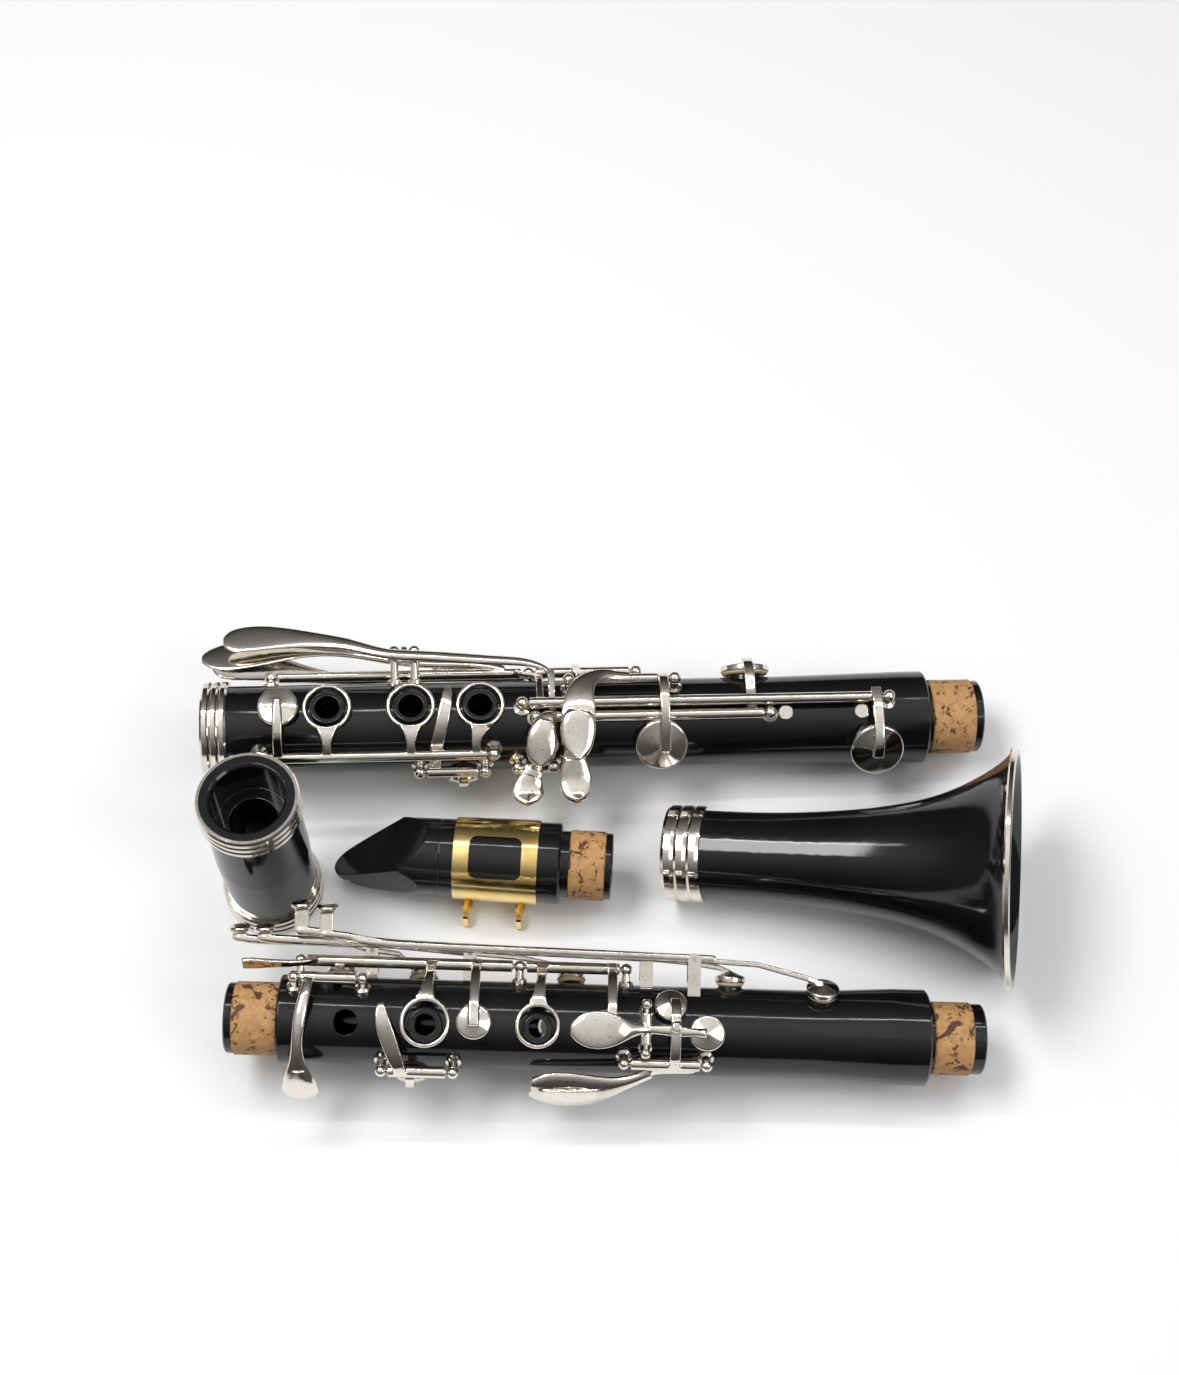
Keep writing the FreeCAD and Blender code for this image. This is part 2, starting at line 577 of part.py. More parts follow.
UPPER_OPEN_HOLE = (36.4, 3.75)
UPPER_RINGS = ((60.0, 3.2, 5.0), (93.2, 2.7, 4.3))   # x, hole radius, chimney radius
UPPER_CHIMNEY_TOP = 15.2
THUMB_X = 97.0

# Pads of the upper joint: x, angle, cup radius, hole radius.
C_SHARP_PAD = (33.0, 114.0, 4.6, 2.6)
UPPER_SLIVER_PAD = (56.0, -86.0, 4.6, 2.5)
UPPER_LOW_PAD = (74.4, 2.0, 5.2, 2.9)
UPPER_HIGH_PAD = (113.4, 2.0, 4.6, 2.4)
A_PAD = (143.2, 0.0, 5.3, 3.0)
G_SHARP_PAD = (132.4, 29.0, 4.9, 2.6)
REGISTER_PAD = (178.0, 180.0, 4.3, 1.5)
SIDE_PADS = ((58.0, 122.0, 4.6, 2.6), (103.0, 110.0, 4.4, 2.4), (151.0, 88.0, 4.6, 2.6),
             (178.1, 58.0, 5.0, 2.8))
UPPER_PADS = (C_SHARP_PAD, UPPER_SLIVER_PAD, UPPER_LOW_PAD, UPPER_HIGH_PAD, A_PAD, G_SHARP_PAD) + SIDE_PADS


def upper_joint_body():
    low, high = TENON_CORK_R - 0.4, TENON_CORK_R - CORK_T
    left, right = UPPER_LEFT_SHOULDER, UPPER_RIGHT_SHOULDER
    outside = [(0, low - 0.5), (0.5, low), (2.4, low), (2.4, high), (left - 0.2, high), (left - 0.2, low),
               (left, low),
               (left, UPPER_R - 0.1), (left + 0.5, UPPER_R + 0.2), (left + 8, UPPER_R), (178, UPPER_R),
               (200, UPPER_TOP_R), (right - 0.6, UPPER_TOP_R), (right, UPPER_TOP_R - 0.6), (right, low),
               (right + 1.4, low), (right + 1.4, high), (right + 13.3, high), (right + 13.3, low),
               (UPPER_LEN - 0.5, low), (UPPER_LEN, low - 0.5)]
    body = lathe(outside + [(UPPER_LEN, BORE_R), (0, BORE_R)])
    seats = [seat_ring(x, 0, chimney, UPPER_R, UPPER_CHIMNEY_TOP) for x, _, chimney in UPPER_RINGS]
    seats += [seat_ring(x, angle, hole + 1.1, UPPER_R, UPPER_SEAT) for x, angle, _, hole in UPPER_PADS]
    core = Part.makeCylinder(12.0, UPPER_LEN, V(0, 0, 0), X_AXIS)
    body = body.fuse(fuse(seats).cut(core))
    body = drill(body, UPPER_OPEN_HOLE[0], 0, UPPER_OPEN_HOLE[1])
    for x, hole, _ in UPPER_RINGS:
        body = drill(body, x, 0, hole)
    for x, angle, _, hole in UPPER_PADS:
        body = drill(body, x, angle, hole)
    body = body.cut(thumb_bush(0))
    return drill(body, REGISTER_PAD[0], 180, 2.4)


def upper_tenon_corks():
    left = cork_sleeve(2.4, UPPER_LEFT_SHOULDER - 0.2, TENON_CORK_R)
    right = cork_sleeve(UPPER_RIGHT_SHOULDER + 1.4, UPPER_RIGHT_SHOULDER + 13.3, TENON_CORK_R)
    return Part.Compound([left, right])


def thumb_bush(hole_r):
    """The outline of the bush in the thumb hole, solid where it is used to cut its seat."""
    shoulder, top = UPPER_R - 1.0, UPPER_R + 1.6
    return turned([(5.0, hole_r), (5.0, 3.6), (shoulder, 3.6), (shoulder, 4.3), (top, 4.3), (top, hole_r)],
                  V(THUMB_X, 0, 0), V(0, 0, -1))


def vent_tubes():
    """The metal thumb bush and register tube set into the back."""
    thumb = thumb_bush(2.9)
    vent = turned([(3.0, 1.5), (3.0, 2.4), (UPPER_SEAT, 2.4), (UPPER_SEAT, 1.5)],
                  V(REGISTER_PAD[0], 0, 0), V(0, 0, -1))
    return Part.Compound([thumb, vent])


UPPER_RING_POSTS = (21.3, 87.3, 119.4)
C_SHARP_POSTS = (20.6, 41.0)
UPPER_SLIVER_POSTS = (47.4, 68.6)
G_SHARP_POSTS = (118.9, 143.3)
THUMB_POSTS = (90.4, 103.6)
A_PIVOT = (125.1, 17.2)          # x, z of the crosswise pivot
A_PIVOT_Y = (-6.4, 8.0)
REGISTER_PIVOT = (150.0, -17.6)
REGISTER_PIVOT_Y = (-5.4, 5.4)
SMALL_BALL = 1.8
CROSS_BALL = 1.6
CROSS_GAP = 2.6           # from the middle of a crosswise post to its tube

# Side keys from the lowest: pivot x, bar height z, touch x, touch y, way it opens in degrees.
SIDE_PIVOTS = (42.0, 72.0, 125.5, 139.6)
SIDE_LEVELS = (-8.8, -4.1, 0.6, 5.3)
SIDE_TOUCH_X = (1.1, 9.3, 20.9, 29.0)
SIDE_TOUCH_Y = (27.6, 27.8, 35.2, 34.4)
SIDE_STALK = (3.6, 3.6, 8.6, 8.6)    # how far a touch stands out from its bar
SIDE_OPENING = (3.6, 2.0, 1.5, 1.4)
SIDE_Y = 21.3            # the upright pins
SIDE_ELBOW_X = 50.0
SIDE_ELBOW_OUT = 1.6     # how much further out a bar is at its elbow
SIDE_HALF_H = 1.5
SIDE_HALF_T = 1.05
SIDE_STALK_HALF = 2.0
EAR_T = 0.9
EAR_R = 1.9


def crosswise_post(x, y, surface, z, head):
    """A post that carries a pivot lying across the joint."""
    reach = math.hypot(y, z)
    ball = post(x, math.degrees(math.atan2(y, z)), surface, reach, head)
    return ball.cut(pin(V(x, y - 4, z), V(x, y + 4, z), ROD_R))


def side_saddle(x, level):
    """Two ears on one foot that hold a side key's upright pin."""
    inner = SIDE_HALF_H + 0.3
    root = 9.0
    ears = []
    for side in (-1, 1):
        z = level + side * (inner + EAR_T / 2)
        plate = Part.makeBox(2 * EAR_R, SIDE_Y - root, EAR_T, V(x - EAR_R, root, z - EAR_T / 2))
        tip = Part.makeCylinder(EAR_R, EAR_T, V(x, SIDE_Y, z - EAR_T / 2), Z_AXIS)
        ears.append(plate.fuse(tip))
    web = Part.makeBox(2 * EAR_R, 2.0, 2 * inner + EAR_T, V(x - EAR_R, UPPER_R - 0.6,
                                                            level - inner - EAR_T / 2))
    saddle = fuse(ears + [web]).cut(pin(V(x, SIDE_Y, level - 8), V(x, SIDE_Y, level + 8), ROD_R))
    return saddle.cut(Part.makeCylinder(UPPER_R, 12, V(x - 6, 0, 0), X_AXIS))


def upper_posts():
    posts = [post_on(x, UPPER_RING_LINE, UPPER_R, SMALL_BALL) for x in UPPER_RING_POSTS]
    posts += [post_on(x, C_SHARP_LINE, UPPER_R, SMALL_BALL) for x in C_SHARP_POSTS]
    posts += [post_on(x, UPPER_SLIVER_LINE, UPPER_R, SMALL_BALL) for x in UPPER_SLIVER_POSTS]
    posts += [post_on(x, G_SHARP_LINE, UPPER_R, SMALL_BALL) for x in G_SHARP_POSTS]
    posts += [post_on(x, THUMB_LINE, UPPER_R, SMALL_BALL) for x in THUMB_POSTS]
    posts += [crosswise_post(A_PIVOT[0], y, UPPER_R, A_PIVOT[1], CROSS_BALL) for y in A_PIVOT_Y]
    posts += [crosswise_post(REGISTER_PIVOT[0], y, UPPER_R, REGISTER_PIVOT[1],
                             CROSS_BALL) for y in REGISTER_PIVOT_Y]
    posts += [side_saddle(x, level) for x, level in zip(SIDE_PIVOTS, SIDE_LEVELS)]
    return Part.Compound(posts)


def upper_rods():
    spans = [(UPPER_RING_POSTS, UPPER_RING_LINE), (C_SHARP_POSTS, C_SHARP_LINE),
             (UPPER_SLIVER_POSTS, UPPER_SLIVER_LINE), (G_SHARP_POSTS, G_SHARP_LINE),
             (THUMB_POSTS, THUMB_LINE)]
    rods = rods_between(spans)
    rods.append(pin(V(A_PIVOT[0], A_PIVOT_Y[0] - 1, A_PIVOT[1]),
                    V(A_PIVOT[0], A_PIVOT_Y[1] + 1, A_PIVOT[1]), ROD_R))
    rods.append(pin(V(REGISTER_PIVOT[0], REGISTER_PIVOT_Y[0] - 1, REGISTER_PIVOT[1]),
                    V(REGISTER_PIVOT[0], REGISTER_PIVOT_Y[1] + 1, REGISTER_PIVOT[1]), ROD_R))
    half = SIDE_HALF_H + 0.3 + EAR_T
    rods += [pin(V(x, SIDE_Y, level - half), V(x, SIDE_Y, level + half), ROD_R)
             for x, level in zip(SIDE_PIVOTS, SIDE_LEVELS)]
    return Part.Compound(rods)


# ---------------------------------------------------------------- upper joint: keys

def upper_low_ring_key():
    """The lower finger ring, its pad and the bridge lever that reaches over the joint's end."""
    lift = 3.5
    line = UPPER_RING_LINE
    ends = UPPER_RING_POSTS[:2]
    tube = hinge_tube(at(ends[0] + SMALL_BALL + END_GAP, line), at(ends[1] - SMALL_BALL - END_GAP, line))
    x, _, chimney = UPPER_RINGS[0]
    low = UPPER_CHIMNEY_TOP - 1.2
    ring = finger_ring(V(x, 0, low), chimney + 1.15, chimney + 2.45, 1.7)
    ring_arm = bar([V(x, chimney + 1.8, low + 0.9), V(x + 0.4, 11.2, 12.6), V(x + 0.8, 15.0, 8.6),
                    V(x + 0.8, 17.6, 3.8)],
                   X_AXIS, (3.0, 1.5, 1.4, 1.4), 0.75)
    head, disc = pad_pair(UPPER_LOW_PAD, UPPER_SEAT)
    pad_x = UPPER_LOW_PAD[0]
    pad_arm = wrap(pad_x, [(-2, 18.2), (12, 18.2), (40, 18.4), (66, 19.2), (80, 19.2)], 1.4, 0.8)
    bridge = bar([V(26.0, 18.0, 3.6), V(23.0, 16.9, 6.4), V(18.0, 16.4, 7.0), V(11.0, 16.2, 7.2),
                  V(4.6, 16.0, 7.2)],
                 V(0, 0.4, 0.9), (1.3, 1.3, 1.4, 2.2, 2.4), 0.6)
    hinge("upper_low_ring_key", "upper", at(54, line), X_AXIS, 0, lift)
    metal = fuse_drilled([tube, ring, ring_arm, head, pad_arm, bridge], tube_bore(ends, line))
    return open_up([metal, disc], line, -lift)


def upper_high_ring_key():
    """The upper finger ring and the small pad under the A touch."""
    lift = 3.5
    line = UPPER_RING_LINE
    ends = UPPER_RING_POSTS[1:]
    tube = hinge_tube(at(ends[0] + SMALL_BALL + END_GAP, line), at(ends[1] - SMALL_BALL - END_GAP, line))
    x, _, chimney = UPPER_RINGS[1]
    low = UPPER_CHIMNEY_TOP - 1.2
    ring = finger_ring(V(x, 0, low), chimney + 1.15, chimney + 2.45, 1.7)
    ring_arm = bar([V(x, chimney + 1.8, low + 0.9), V(x + 0.4, 11.0, 12.8), V(x + 0.8, 15.0, 8.6),
                    V(x + 0.8, 17.6, 3.8)],
                   X_AXIS, (2.8, 1.5, 1.4, 1.4), 0.75)
    head, disc = pad_pair(UPPER_HIGH_PAD, UPPER_SEAT)
    pad_arm = wrap(115.0, [(4, 18.0), (14, 18.1), (40, 18.4), (66, 19.2), (80, 19.2)], 1.4, 0.7)
    hinge("upper_high_ring_key", "upper", at(103, line), X_AXIS, 0, lift)
    metal = fuse_drilled([tube, ring, ring_arm, head, pad_arm], tube_bore(ends, line))
    return open_up([metal, disc], line, -lift)


def thumb_ring_key():
    """The sixth ring, round the thumb hole at the back, on a short hinge of its own."""
    lift = 4.0
    line = THUMB_LINE
    tube = hinge_tube(at(THUMB_POSTS[0] + SMALL_BALL + END_GAP, line),
                      at(THUMB_POSTS[1] - SMALL_BALL - END_GAP, line))
    ring = turned([(0, 5.2), (0, 6.3), (0.4, 6.6), (1.4, 6.6), (1.8, 6.3), (1.8, 5.2)],
                  V(THUMB_X, 0, -UPPER_R - 0.5), V(0, 0, -1))
    arm = bar([V(THUMB_X, -5.6, -14.6), V(THUMB_X, -9.4, -14.0), V(THUMB_X, line.y, line.z - 1.0)],
              X_AXIS, (2.6, 1.6, 1.5), 0.7)
    hinge("thumb_ring_key", "upper", at(THUMB_X, line), X_AXIS, 0, lift)
    return open_up([fuse_drilled([tube, ring, arm], tube_bore(THUMB_POSTS, line))], line, -lift)


def c_sharp_key():
    """A long teardrop touch that sweeps over the joint from a short hinge."""
    line = C_SHARP_LINE
    tube = hinge_tube(at(C_SHARP_POSTS[0] + SMALL_BALL + END_GAP, line),
                      at(C_SHARP_POSTS[1] - SMALL_BALL - END_GAP, line))
    stops = [(42, 18.4, 25.0), (22, 18.2, 24.4), (0, 17.8, 23.4), (-22, 18.0, 23.0), (-42, 19.2, 23.2),
             (-58, 20.8, 23.6), (-72, 22.0, 23.8), (-82, 22.6, 24.0), (-88, 22.8, 24.0)]
    plate = blade([polar(x, angle, reach) for angle, reach, x in stops], X_AXIS,
                  (1.6, 1.7, 1.8, 1.7, 2.8, 4.9, 5.3, 4.2, 1.8),
                  (0.9, 0.9, 0.9, 0.85, 0.8, 0.75, 0.7, 0.65, 0.5))
    head, disc = pad_pair(C_SHARP_PAD, UPPER_SEAT)
    arm = wrap(C_SHARP_PAD[0], [(48, 16.4), (60, 14.7), (78, 14.4), (89, 15.4), (97, 17.7), (106, 18.8),
                                (115, 18.7)],
               1.4, 0.45)
    hinge("c_sharp_key", "upper", at(31, line), X_AXIS, 0, 3)
    return [fuse_drilled([tube, plate, head, arm], tube_bore(C_SHARP_POSTS, line)), disc]


def upper_sliver_key():
    line = UPPER_SLIVER_LINE
    tube = hinge_tube(at(UPPER_SLIVER_POSTS[0] + SMALL_BALL + END_GAP, line),
                      at(UPPER_SLIVER_POSTS[1] - SMALL_BALL - END_GAP, line))
    points = [polar(53.6, -52, 18.8), polar(52.8, -44, 18.6), polar(51.0, -28, 17.6), polar(48.6, -6, 17.4),
              polar(47.0, 20, 17.6)]
    sliver = bar(points, X_AXIS, (1.5, 1.8, 2.2, 2.3, 0.9), 0.6)
    head, disc = pad_pair(UPPER_SLIVER_PAD, UPPER_SEAT)
    arm = wrap(UPPER_SLIVER_PAD[0], [(-54, 19.0), (-70, 19.0), (-84, 18.4)], 1.4, 0.8)
    hinge("upper_sliver_key", "upper", at(58, line), X_AXIS, -4, 0)
    return [fuse_drilled([tube, sliver, head, arm], tube_bore(UPPER_SLIVER_POSTS, line)), disc]


def a_key():
    """The throat key that rocks on a pivot lying across the joint."""
    x, z = A_PIVOT
    start, end = V(x, A_PIVOT_Y[0] + CROSS_GAP, z), V(x, A_PIVOT_Y[1] - CROSS_GAP, z)
    plate = blade([V(102.8, 0.2, 21.0), V(104.4, 0.2, 21.3), V(109.0, 0.2, 21.7), V(114.6, 0.3, 21.6),
                   V(119.4, 0.4, 20.6), V(123.0, 0.6, 19.0), V(130.0, 0.6, 17.9), V(137.0, 0.2, 17.8),
                   V(142.6, 0.0, 18.3)],
                  Y_AXIS, (1.6, 3.4, 5.4, 5.0, 3.0, 1.7, 1.5, 1.4, 1.2),
                  (0.5, 0.65, 0.75, 0.8, 0.9, 0.9, 0.8, 0.7, 0.6))
    head, disc = pad_pair(A_PAD, UPPER_SEAT)
    hinge("a_key", "upper", V(x, 0, z), Y_AXIS, -4, 0)
    bore = pin(V(x, -9, z), V(x, 11, z), TUBE_BORE_R)
    return [fuse_drilled([hinge_tube(start, end), plate, head], bore), disc]


def g_sharp_key():
    """The throat key whose arm bridges the A key and carries an adjusting screw."""
    line = G_SHARP_LINE
    tube = hinge_tube(at(G_SHARP_POSTS[0] + SMALL_BALL + END_GAP, line),
                      at(G_SHARP_POSTS[1] - SMALL_BALL - END_GAP, line))
    arm = wrap(133.7, [(-33, 18.9), (-20, 20.4), (0, 20.8), (14, 20.6), (26, 19.2), (31, 18.4)], 1.5, 0.7)
    screw = turned([(0, 0), (0, 1.6), (1.1, 1.6), (1.5, 1.2), (1.5, 0)], V(133.7, 1.6, 21.2), Z_AXIS)
    head, disc = pad_pair(G_SHARP_PAD, UPPER_SEAT)
    plate = blade([V(140.0, -11.0, 13.4), V(131.0, -11.4, 13.0), V(125.6, -12.4, 11.8), V(121.0, -15.0, 9.4),
                   V(116.0, -18.2, 7.2), V(109.0, -20.2, 5.8), V(101.0, -20.8, 4.8), V(94.4, -20.2, 4.2),
                   V(91.2, -19.6, 4.0)],
                  V(0, -0.45, -0.9), (1.3, 1.6, 1.8, 2.2, 3.2, 4.8, 5.2, 3.8, 1.6),
                  (0.6, 0.8, 0.9, 0.9, 0.8, 0.75, 0.7, 0.65, 0.5))
    hinge("g_sharp_key", "upper", at(131, line), X_AXIS, 0, 4)
    return [fuse_drilled([tube, arm, screw, head, plate], tube_bore(G_SHARP_POSTS, line)), disc]


def register_key():
    """The speaker key on the back, worked by the thumb."""
    x, z = REGISTER_PIVOT
    start, end = V(x, REGISTER_PIVOT_Y[0] + CROSS_GAP, z), V(x, REGISTER_PIVOT_Y[1] - CROSS_GAP, z)
    lever = blade([V(107.0, 0, -19.2), V(109.0, 0, -19.8), V(114.0, 0, -20.4), V(120.0, 0, -20.2),
                   V(128.0, 0, -19.2),
                   V(140.0, 0, -18.6), V(150.0, 0, -18.8), V(164.0, 0, -18.6), V(177.0, 0, -18.3)],
                  Y_AXIS, (1.6, 3.2, 4.2, 3.4, 2.2, 1.8, 1.8, 1.6, 1.3),
                  (0.5, 0.7, 0.8, 0.8, 0.8, 0.8, 0.8, 0.7, 0.6))
    head, disc = pad_pair(REGISTER_PAD, UPPER_SEAT)
    hinge("register_key", "upper", V(x, 0, z), Y_AXIS, 0, 4)
    bore = pin(V(x, -9, z), V(x, 9, z), TUBE_BORE_R)
    return [fuse_drilled([hinge_tube(start, end), lever, head], bore), disc]


def side_key(number):
    """One of four levers that rock on upright pins beside the joint."""
    pivot, level = SIDE_PIVOTS[number], SIDE_LEVELS[number]
    touch_x, touch_y = SIDE_TOUCH_X[number], SIDE_TOUCH_Y[number]
    place = SIDE_PADS[number]
    foot_y = touch_y - SIDE_STALK[number]
    boss = Part.makeCylinder(1.7, 2 * SIDE_HALF_H, V(pivot, SIDE_Y, level - SIDE_HALF_H), Z_AXIS)
    elbow = V(min(SIDE_ELBOW_X, pivot - 6.0), SIDE_Y + SIDE_ELBOW_OUT, level)
    path = [V(touch_x - 1.0, foot_y, level), V(touch_x + 5.0, foot_y - 0.4, level), elbow,
            V(pivot, SIDE_Y, level)]
    front = bar(path, Z_AXIS, [SIDE_HALF_H] * len(path), SIDE_HALF_T, True)
    stalk = bar([V(touch_x, foot_y - 0.6, level), V(touch_x, touch_y - 1.4, level)], Z_AXIS,
                (SIDE_HALF_H, SIDE_HALF_H), SIDE_STALK_HALF, True)
    crown = cup_root(place, UPPER_SEAT)
    back = bar([V(pivot, SIDE_Y, level), V(pivot + (place[0] - pivot) * 0.5, SIDE_Y - 0.9, level),
                V(place[0] - 4.0, crown.y + 1.6, (level + crown.z) / 2), crown],
               Z_AXIS, (SIDE_HALF_H, SIDE_HALF_H, SIDE_HALF_H, 1.2), 0.8, True)
    button = turned([(0, 0), (0, 2.4), (0.5, 3.2), (1.2, 3.4), (1.8, 3.0), (2.1, 2.0), (2.2, 0)],
                    V(touch_x, touch_y - 1.8, level), V(-0.1, 1, 0.25).normalize())
    head, disc = pad_pair(place, UPPER_SEAT)
    hinge("side_key_%d" % (number + 1), "upper", V(pivot, SIDE_Y, level), Z_AXIS, 0, SIDE_OPENING[number])
    bore = pin(V(pivot, SIDE_Y, level - 9), V(pivot, SIDE_Y, level + 9), TUBE_BORE_R)
    return [fuse_drilled([boss, front, stalk, back, button, head], bore), disc]


# ---------------------------------------------------------------- barrel, mouthpiece, ligature, bell

def barrel_body():
    seat = RING_R - RING_WALL
    depth, lip = BARREL_SOCKET_DEPTH, 1.0
    outside = [(0.3, seat), (RING_LEN, seat), (RING_LEN, BARREL_R), (BARREL_LEN / 2, BARREL_R + 0.5),
               (BARREL_LEN - RING_LEN, BARREL_R), (BARREL_LEN - RING_LEN, seat), (BARREL_LEN - 0.3, seat)]
    inside = [(BARREL_LEN - 0.3, SOCKET_R + 0.8), (BARREL_LEN - lip, SOCKET_R),
              (BARREL_LEN - depth, SOCKET_R),
              (BARREL_LEN - depth, BORE_R), (depth, BORE_R), (depth, SOCKET_R), (lip, SOCKET_R),
              (0.3, SOCKET_R + 0.8)]
    return lathe(outside + inside)


def barrel_rings():
    low = ridged_ring(0, RING_LEN, RING_R - RING_WALL, RING_R)
    high = ridged_ring(BARREL_LEN - RING_LEN, RING_LEN, RING_R - RING_WALL, RING_R)
    return Part.Compound([low, high])


MOUTH_TABLE = 10.2        # flat table below the bore line
WINDOW = (3.0, 38.0, 5.4)
LIGATURE_LEN = 26.5
LIGATURE_LEFT = MOUTH_SHOULDER - 33.6
LIGATURE = (LIGATURE_LEFT, LIGATURE_LEFT + LIGATURE_LEN)
LIGATURE_SCREWS = (LIGATURE_LEFT + 3.9, LIGATURE_LEFT + 20.9)
BAND_T = 0.7
BAND_EDGE = 5.0           # width of the bands beside the ligature's window
WINDOW_HALF_ANGLE = 31.0
WINDOW_TURN = 30.0        # how far the window sits round from the top
LUG_DROP = 3.9
LUG_LEN = 5.2
LUG_T = 1.6
LUG_Y = (-4.6, 3.2)
LUG_SLOT = (-1.9, 3.2)    # where the gap between the lugs starts, and its width


def mouth_radius(x):
    return MOUTH_R - (MOUTH_SHOULDER - x) * 0.018


def mouthpiece_body():
    """A turned body cut to a beak above, a flat table below and a chamber under the reed."""
    tenon, channel = TENON_CORK_R - 0.4, TENON_CORK_R - CORK_T
    start, end = MOUTH_SHOULDER + MOUTH_CORK_START, MOUTH_LEN - MOUTH_CORK_END
    blank = lathe([(0, 0), (0, mouth_radius(0)), (MOUTH_SHOULDER - 0.6, mouth_radius(MOUTH_SHOULDER)),
                   (MOUTH_SHOULDER, MOUTH_R - 0.6), (MOUTH_SHOULDER, tenon), (start, tenon), (start, channel),
                   (end, channel), (end, tenon), (MOUTH_LEN - 0.4, tenon), (MOUTH_LEN, tenon - 0.4),
                   (MOUTH_LEN, 0)])
    half = MOUTH_R + 1
    edge = Part.BSplineCurve()
    edge.interpolate([V(MOUTH_BEAK_LEN + 4, half, 0), V(22, 10.2, 0), V(12.6, 7.6, 0), V(5.0, 5.2, 0),
                      V(1.2, 2.9, 0),
                      V(0, 0, 0), V(1.2, -2.9, 0), V(5.0, -5.2, 0), V(12.6, -7.6, 0), V(22, -10.2, 0),
                      V(MOUTH_BEAK_LEN + 4, -half, 0)])
    rest = Part.makePolygon([V(MOUTH_BEAK_LEN + 4, -half, 0), V(MOUTH_LEN + 2, -half, 0),
                             V(MOUTH_LEN + 2, half, 0),
                             V(MOUTH_BEAK_LEN + 4, half, 0)])
    plan = Part.Face(Part.Wire([edge.toShape()] + rest.Edges)).extrude(V(0, 0, 2 * half))
    plan.translate(V(0, 0, -half))
    tip = -MOUTH_TABLE + 0.9
    side = Part.Face(Part.makePolygon([V(-1, 0, tip), V(0, 0, tip),
                                       V(MOUTH_BEAK_LEN, 0, mouth_radius(31) + 0.1),
                                       V(MOUTH_BEAK_LEN + 1, 0, half + 1), V(MOUTH_LEN + 2, 0, half + 1),
                                       V(MOUTH_LEN + 2, 0, -half - 1), V(MOUTH_SHOULDER - 6, 0, -half - 1),
                                       V(MOUTH_SHOULDER - 9, 0, -MOUTH_TABLE), V(28, 0, -MOUTH_TABLE),
                                       V(0, 0, -MOUTH_TABLE + 0.5), V(-1, 0, -MOUTH_TABLE + 0.5),
                                       V(-1, 0, tip)]))
    side = side.extrude(V(0, 2 * half, 0))
    side.translate(V(0, -half, 0))
    body = blank.common(plan).common(side)
    bore = Part.makeCylinder(BORE_R, MOUTH_LEN - 46, V(46, 0, 0), X_AXIS)
    left, right, half_w = WINDOW
    chamber = Part.Face(Part.makePolygon([V(left, 0, -MOUTH_TABLE - 1), V(right, 0, -MOUTH_TABLE - 1),
                                          V(right + 10, 0, -6.0), V(right + 10, 0, 6.0), V(34, 0, 3.0),
                                          V(left, 0, -MOUTH_TABLE + 0.3), V(left, 0, -MOUTH_TABLE - 1)]))
    chamber = chamber.extrude(V(0, 2 * half_w, 0))
    chamber.translate(V(0, -half_w, 0))
    groove = lathe([(34.6, mouth_radius(35) - 0.25), (34.6, MOUTH_R + 1), (35.2, MOUTH_R + 1),
                    (35.2, mouth_radius(35) - 0.25)])
    return body.cut(bore).cut(chamber).cut(groove)


def mouthpiece_cork():
    return cork_sleeve(MOUTH_SHOULDER + MOUTH_CORK_START, MOUTH_LEN - MOUTH_CORK_END, TENON_CORK_R)


def ligature_screws():
    """Two thumb screws that draw the ligature's lugs together under the reed."""
    screws = []
    z = -(MOUTH_R + LUG_DROP - 1.4)
    for x in LIGATURE_SCREWS:
        shaft = pin(V(x, 5.0, z), V(x, -7.0, z), 0.9)
        head = Part.makeCylinder(4.2, 1.5, V(x - 0.75, -10.8, z), X_AXIS)
        neck = pin(V(x, -6.4, z), V(x, -9.0, z), 1.7)
        head = head.common(Part.makeBox(3, 7.6, 5.6, V(x - 1.5, -14.4, z - 2.8)))
        screws.append(fuse([shaft, head, neck]))
    return screws


def ligature():
    """A brass band with a large rounded window and paired lugs for its screws below."""
    left, right = LIGATURE
    inner = [mouth_radius(left) + 0.05, mouth_radius(right) + 0.05]
    band = lathe([(left, inner[0]), (left, inner[0] + BAND_T), (right, inner[1] + BAND_T), (right, inner[1])])
    half = MOUTH_R * math.sin(math.radians(WINDOW_HALF_ANGLE))
    window = Part.makeBox(LIGATURE_LEN - 2 * BAND_EDGE, 2 * half, 2 * MOUTH_R, V(left + BAND_EDGE, -half, 0))
    window = window.makeFillet(2.4, [e for e in window.Edges if abs(e.tangentAt(e.FirstParameter).z) > 0.99])
    band = band.cut(turn_about(window, V(0, 0, 0), X_AXIS, WINDOW_TURN))
    foot = -(MOUTH_R + LUG_DROP)
    lugs = [Part.makeBox(LUG_LEN, LUG_T, LUG_DROP, V(x - LUG_LEN / 2, y, foot + 0.2))
            for x in LIGATURE_SCREWS for y in LUG_Y]
    slot = Part.makeBox(LIGATURE_LEN + 2, LUG_SLOT[1], LUG_DROP + 6, V(left - 1, LUG_SLOT[0], foot - 2))
    shape = fuse([band] + lugs).cut(slot)
    for x in LIGATURE_SCREWS:
        shape = shape.cut(pin(V(x, 8, foot + 1.4), V(x, -8, foot + 1.4), 0.98))
    return shape


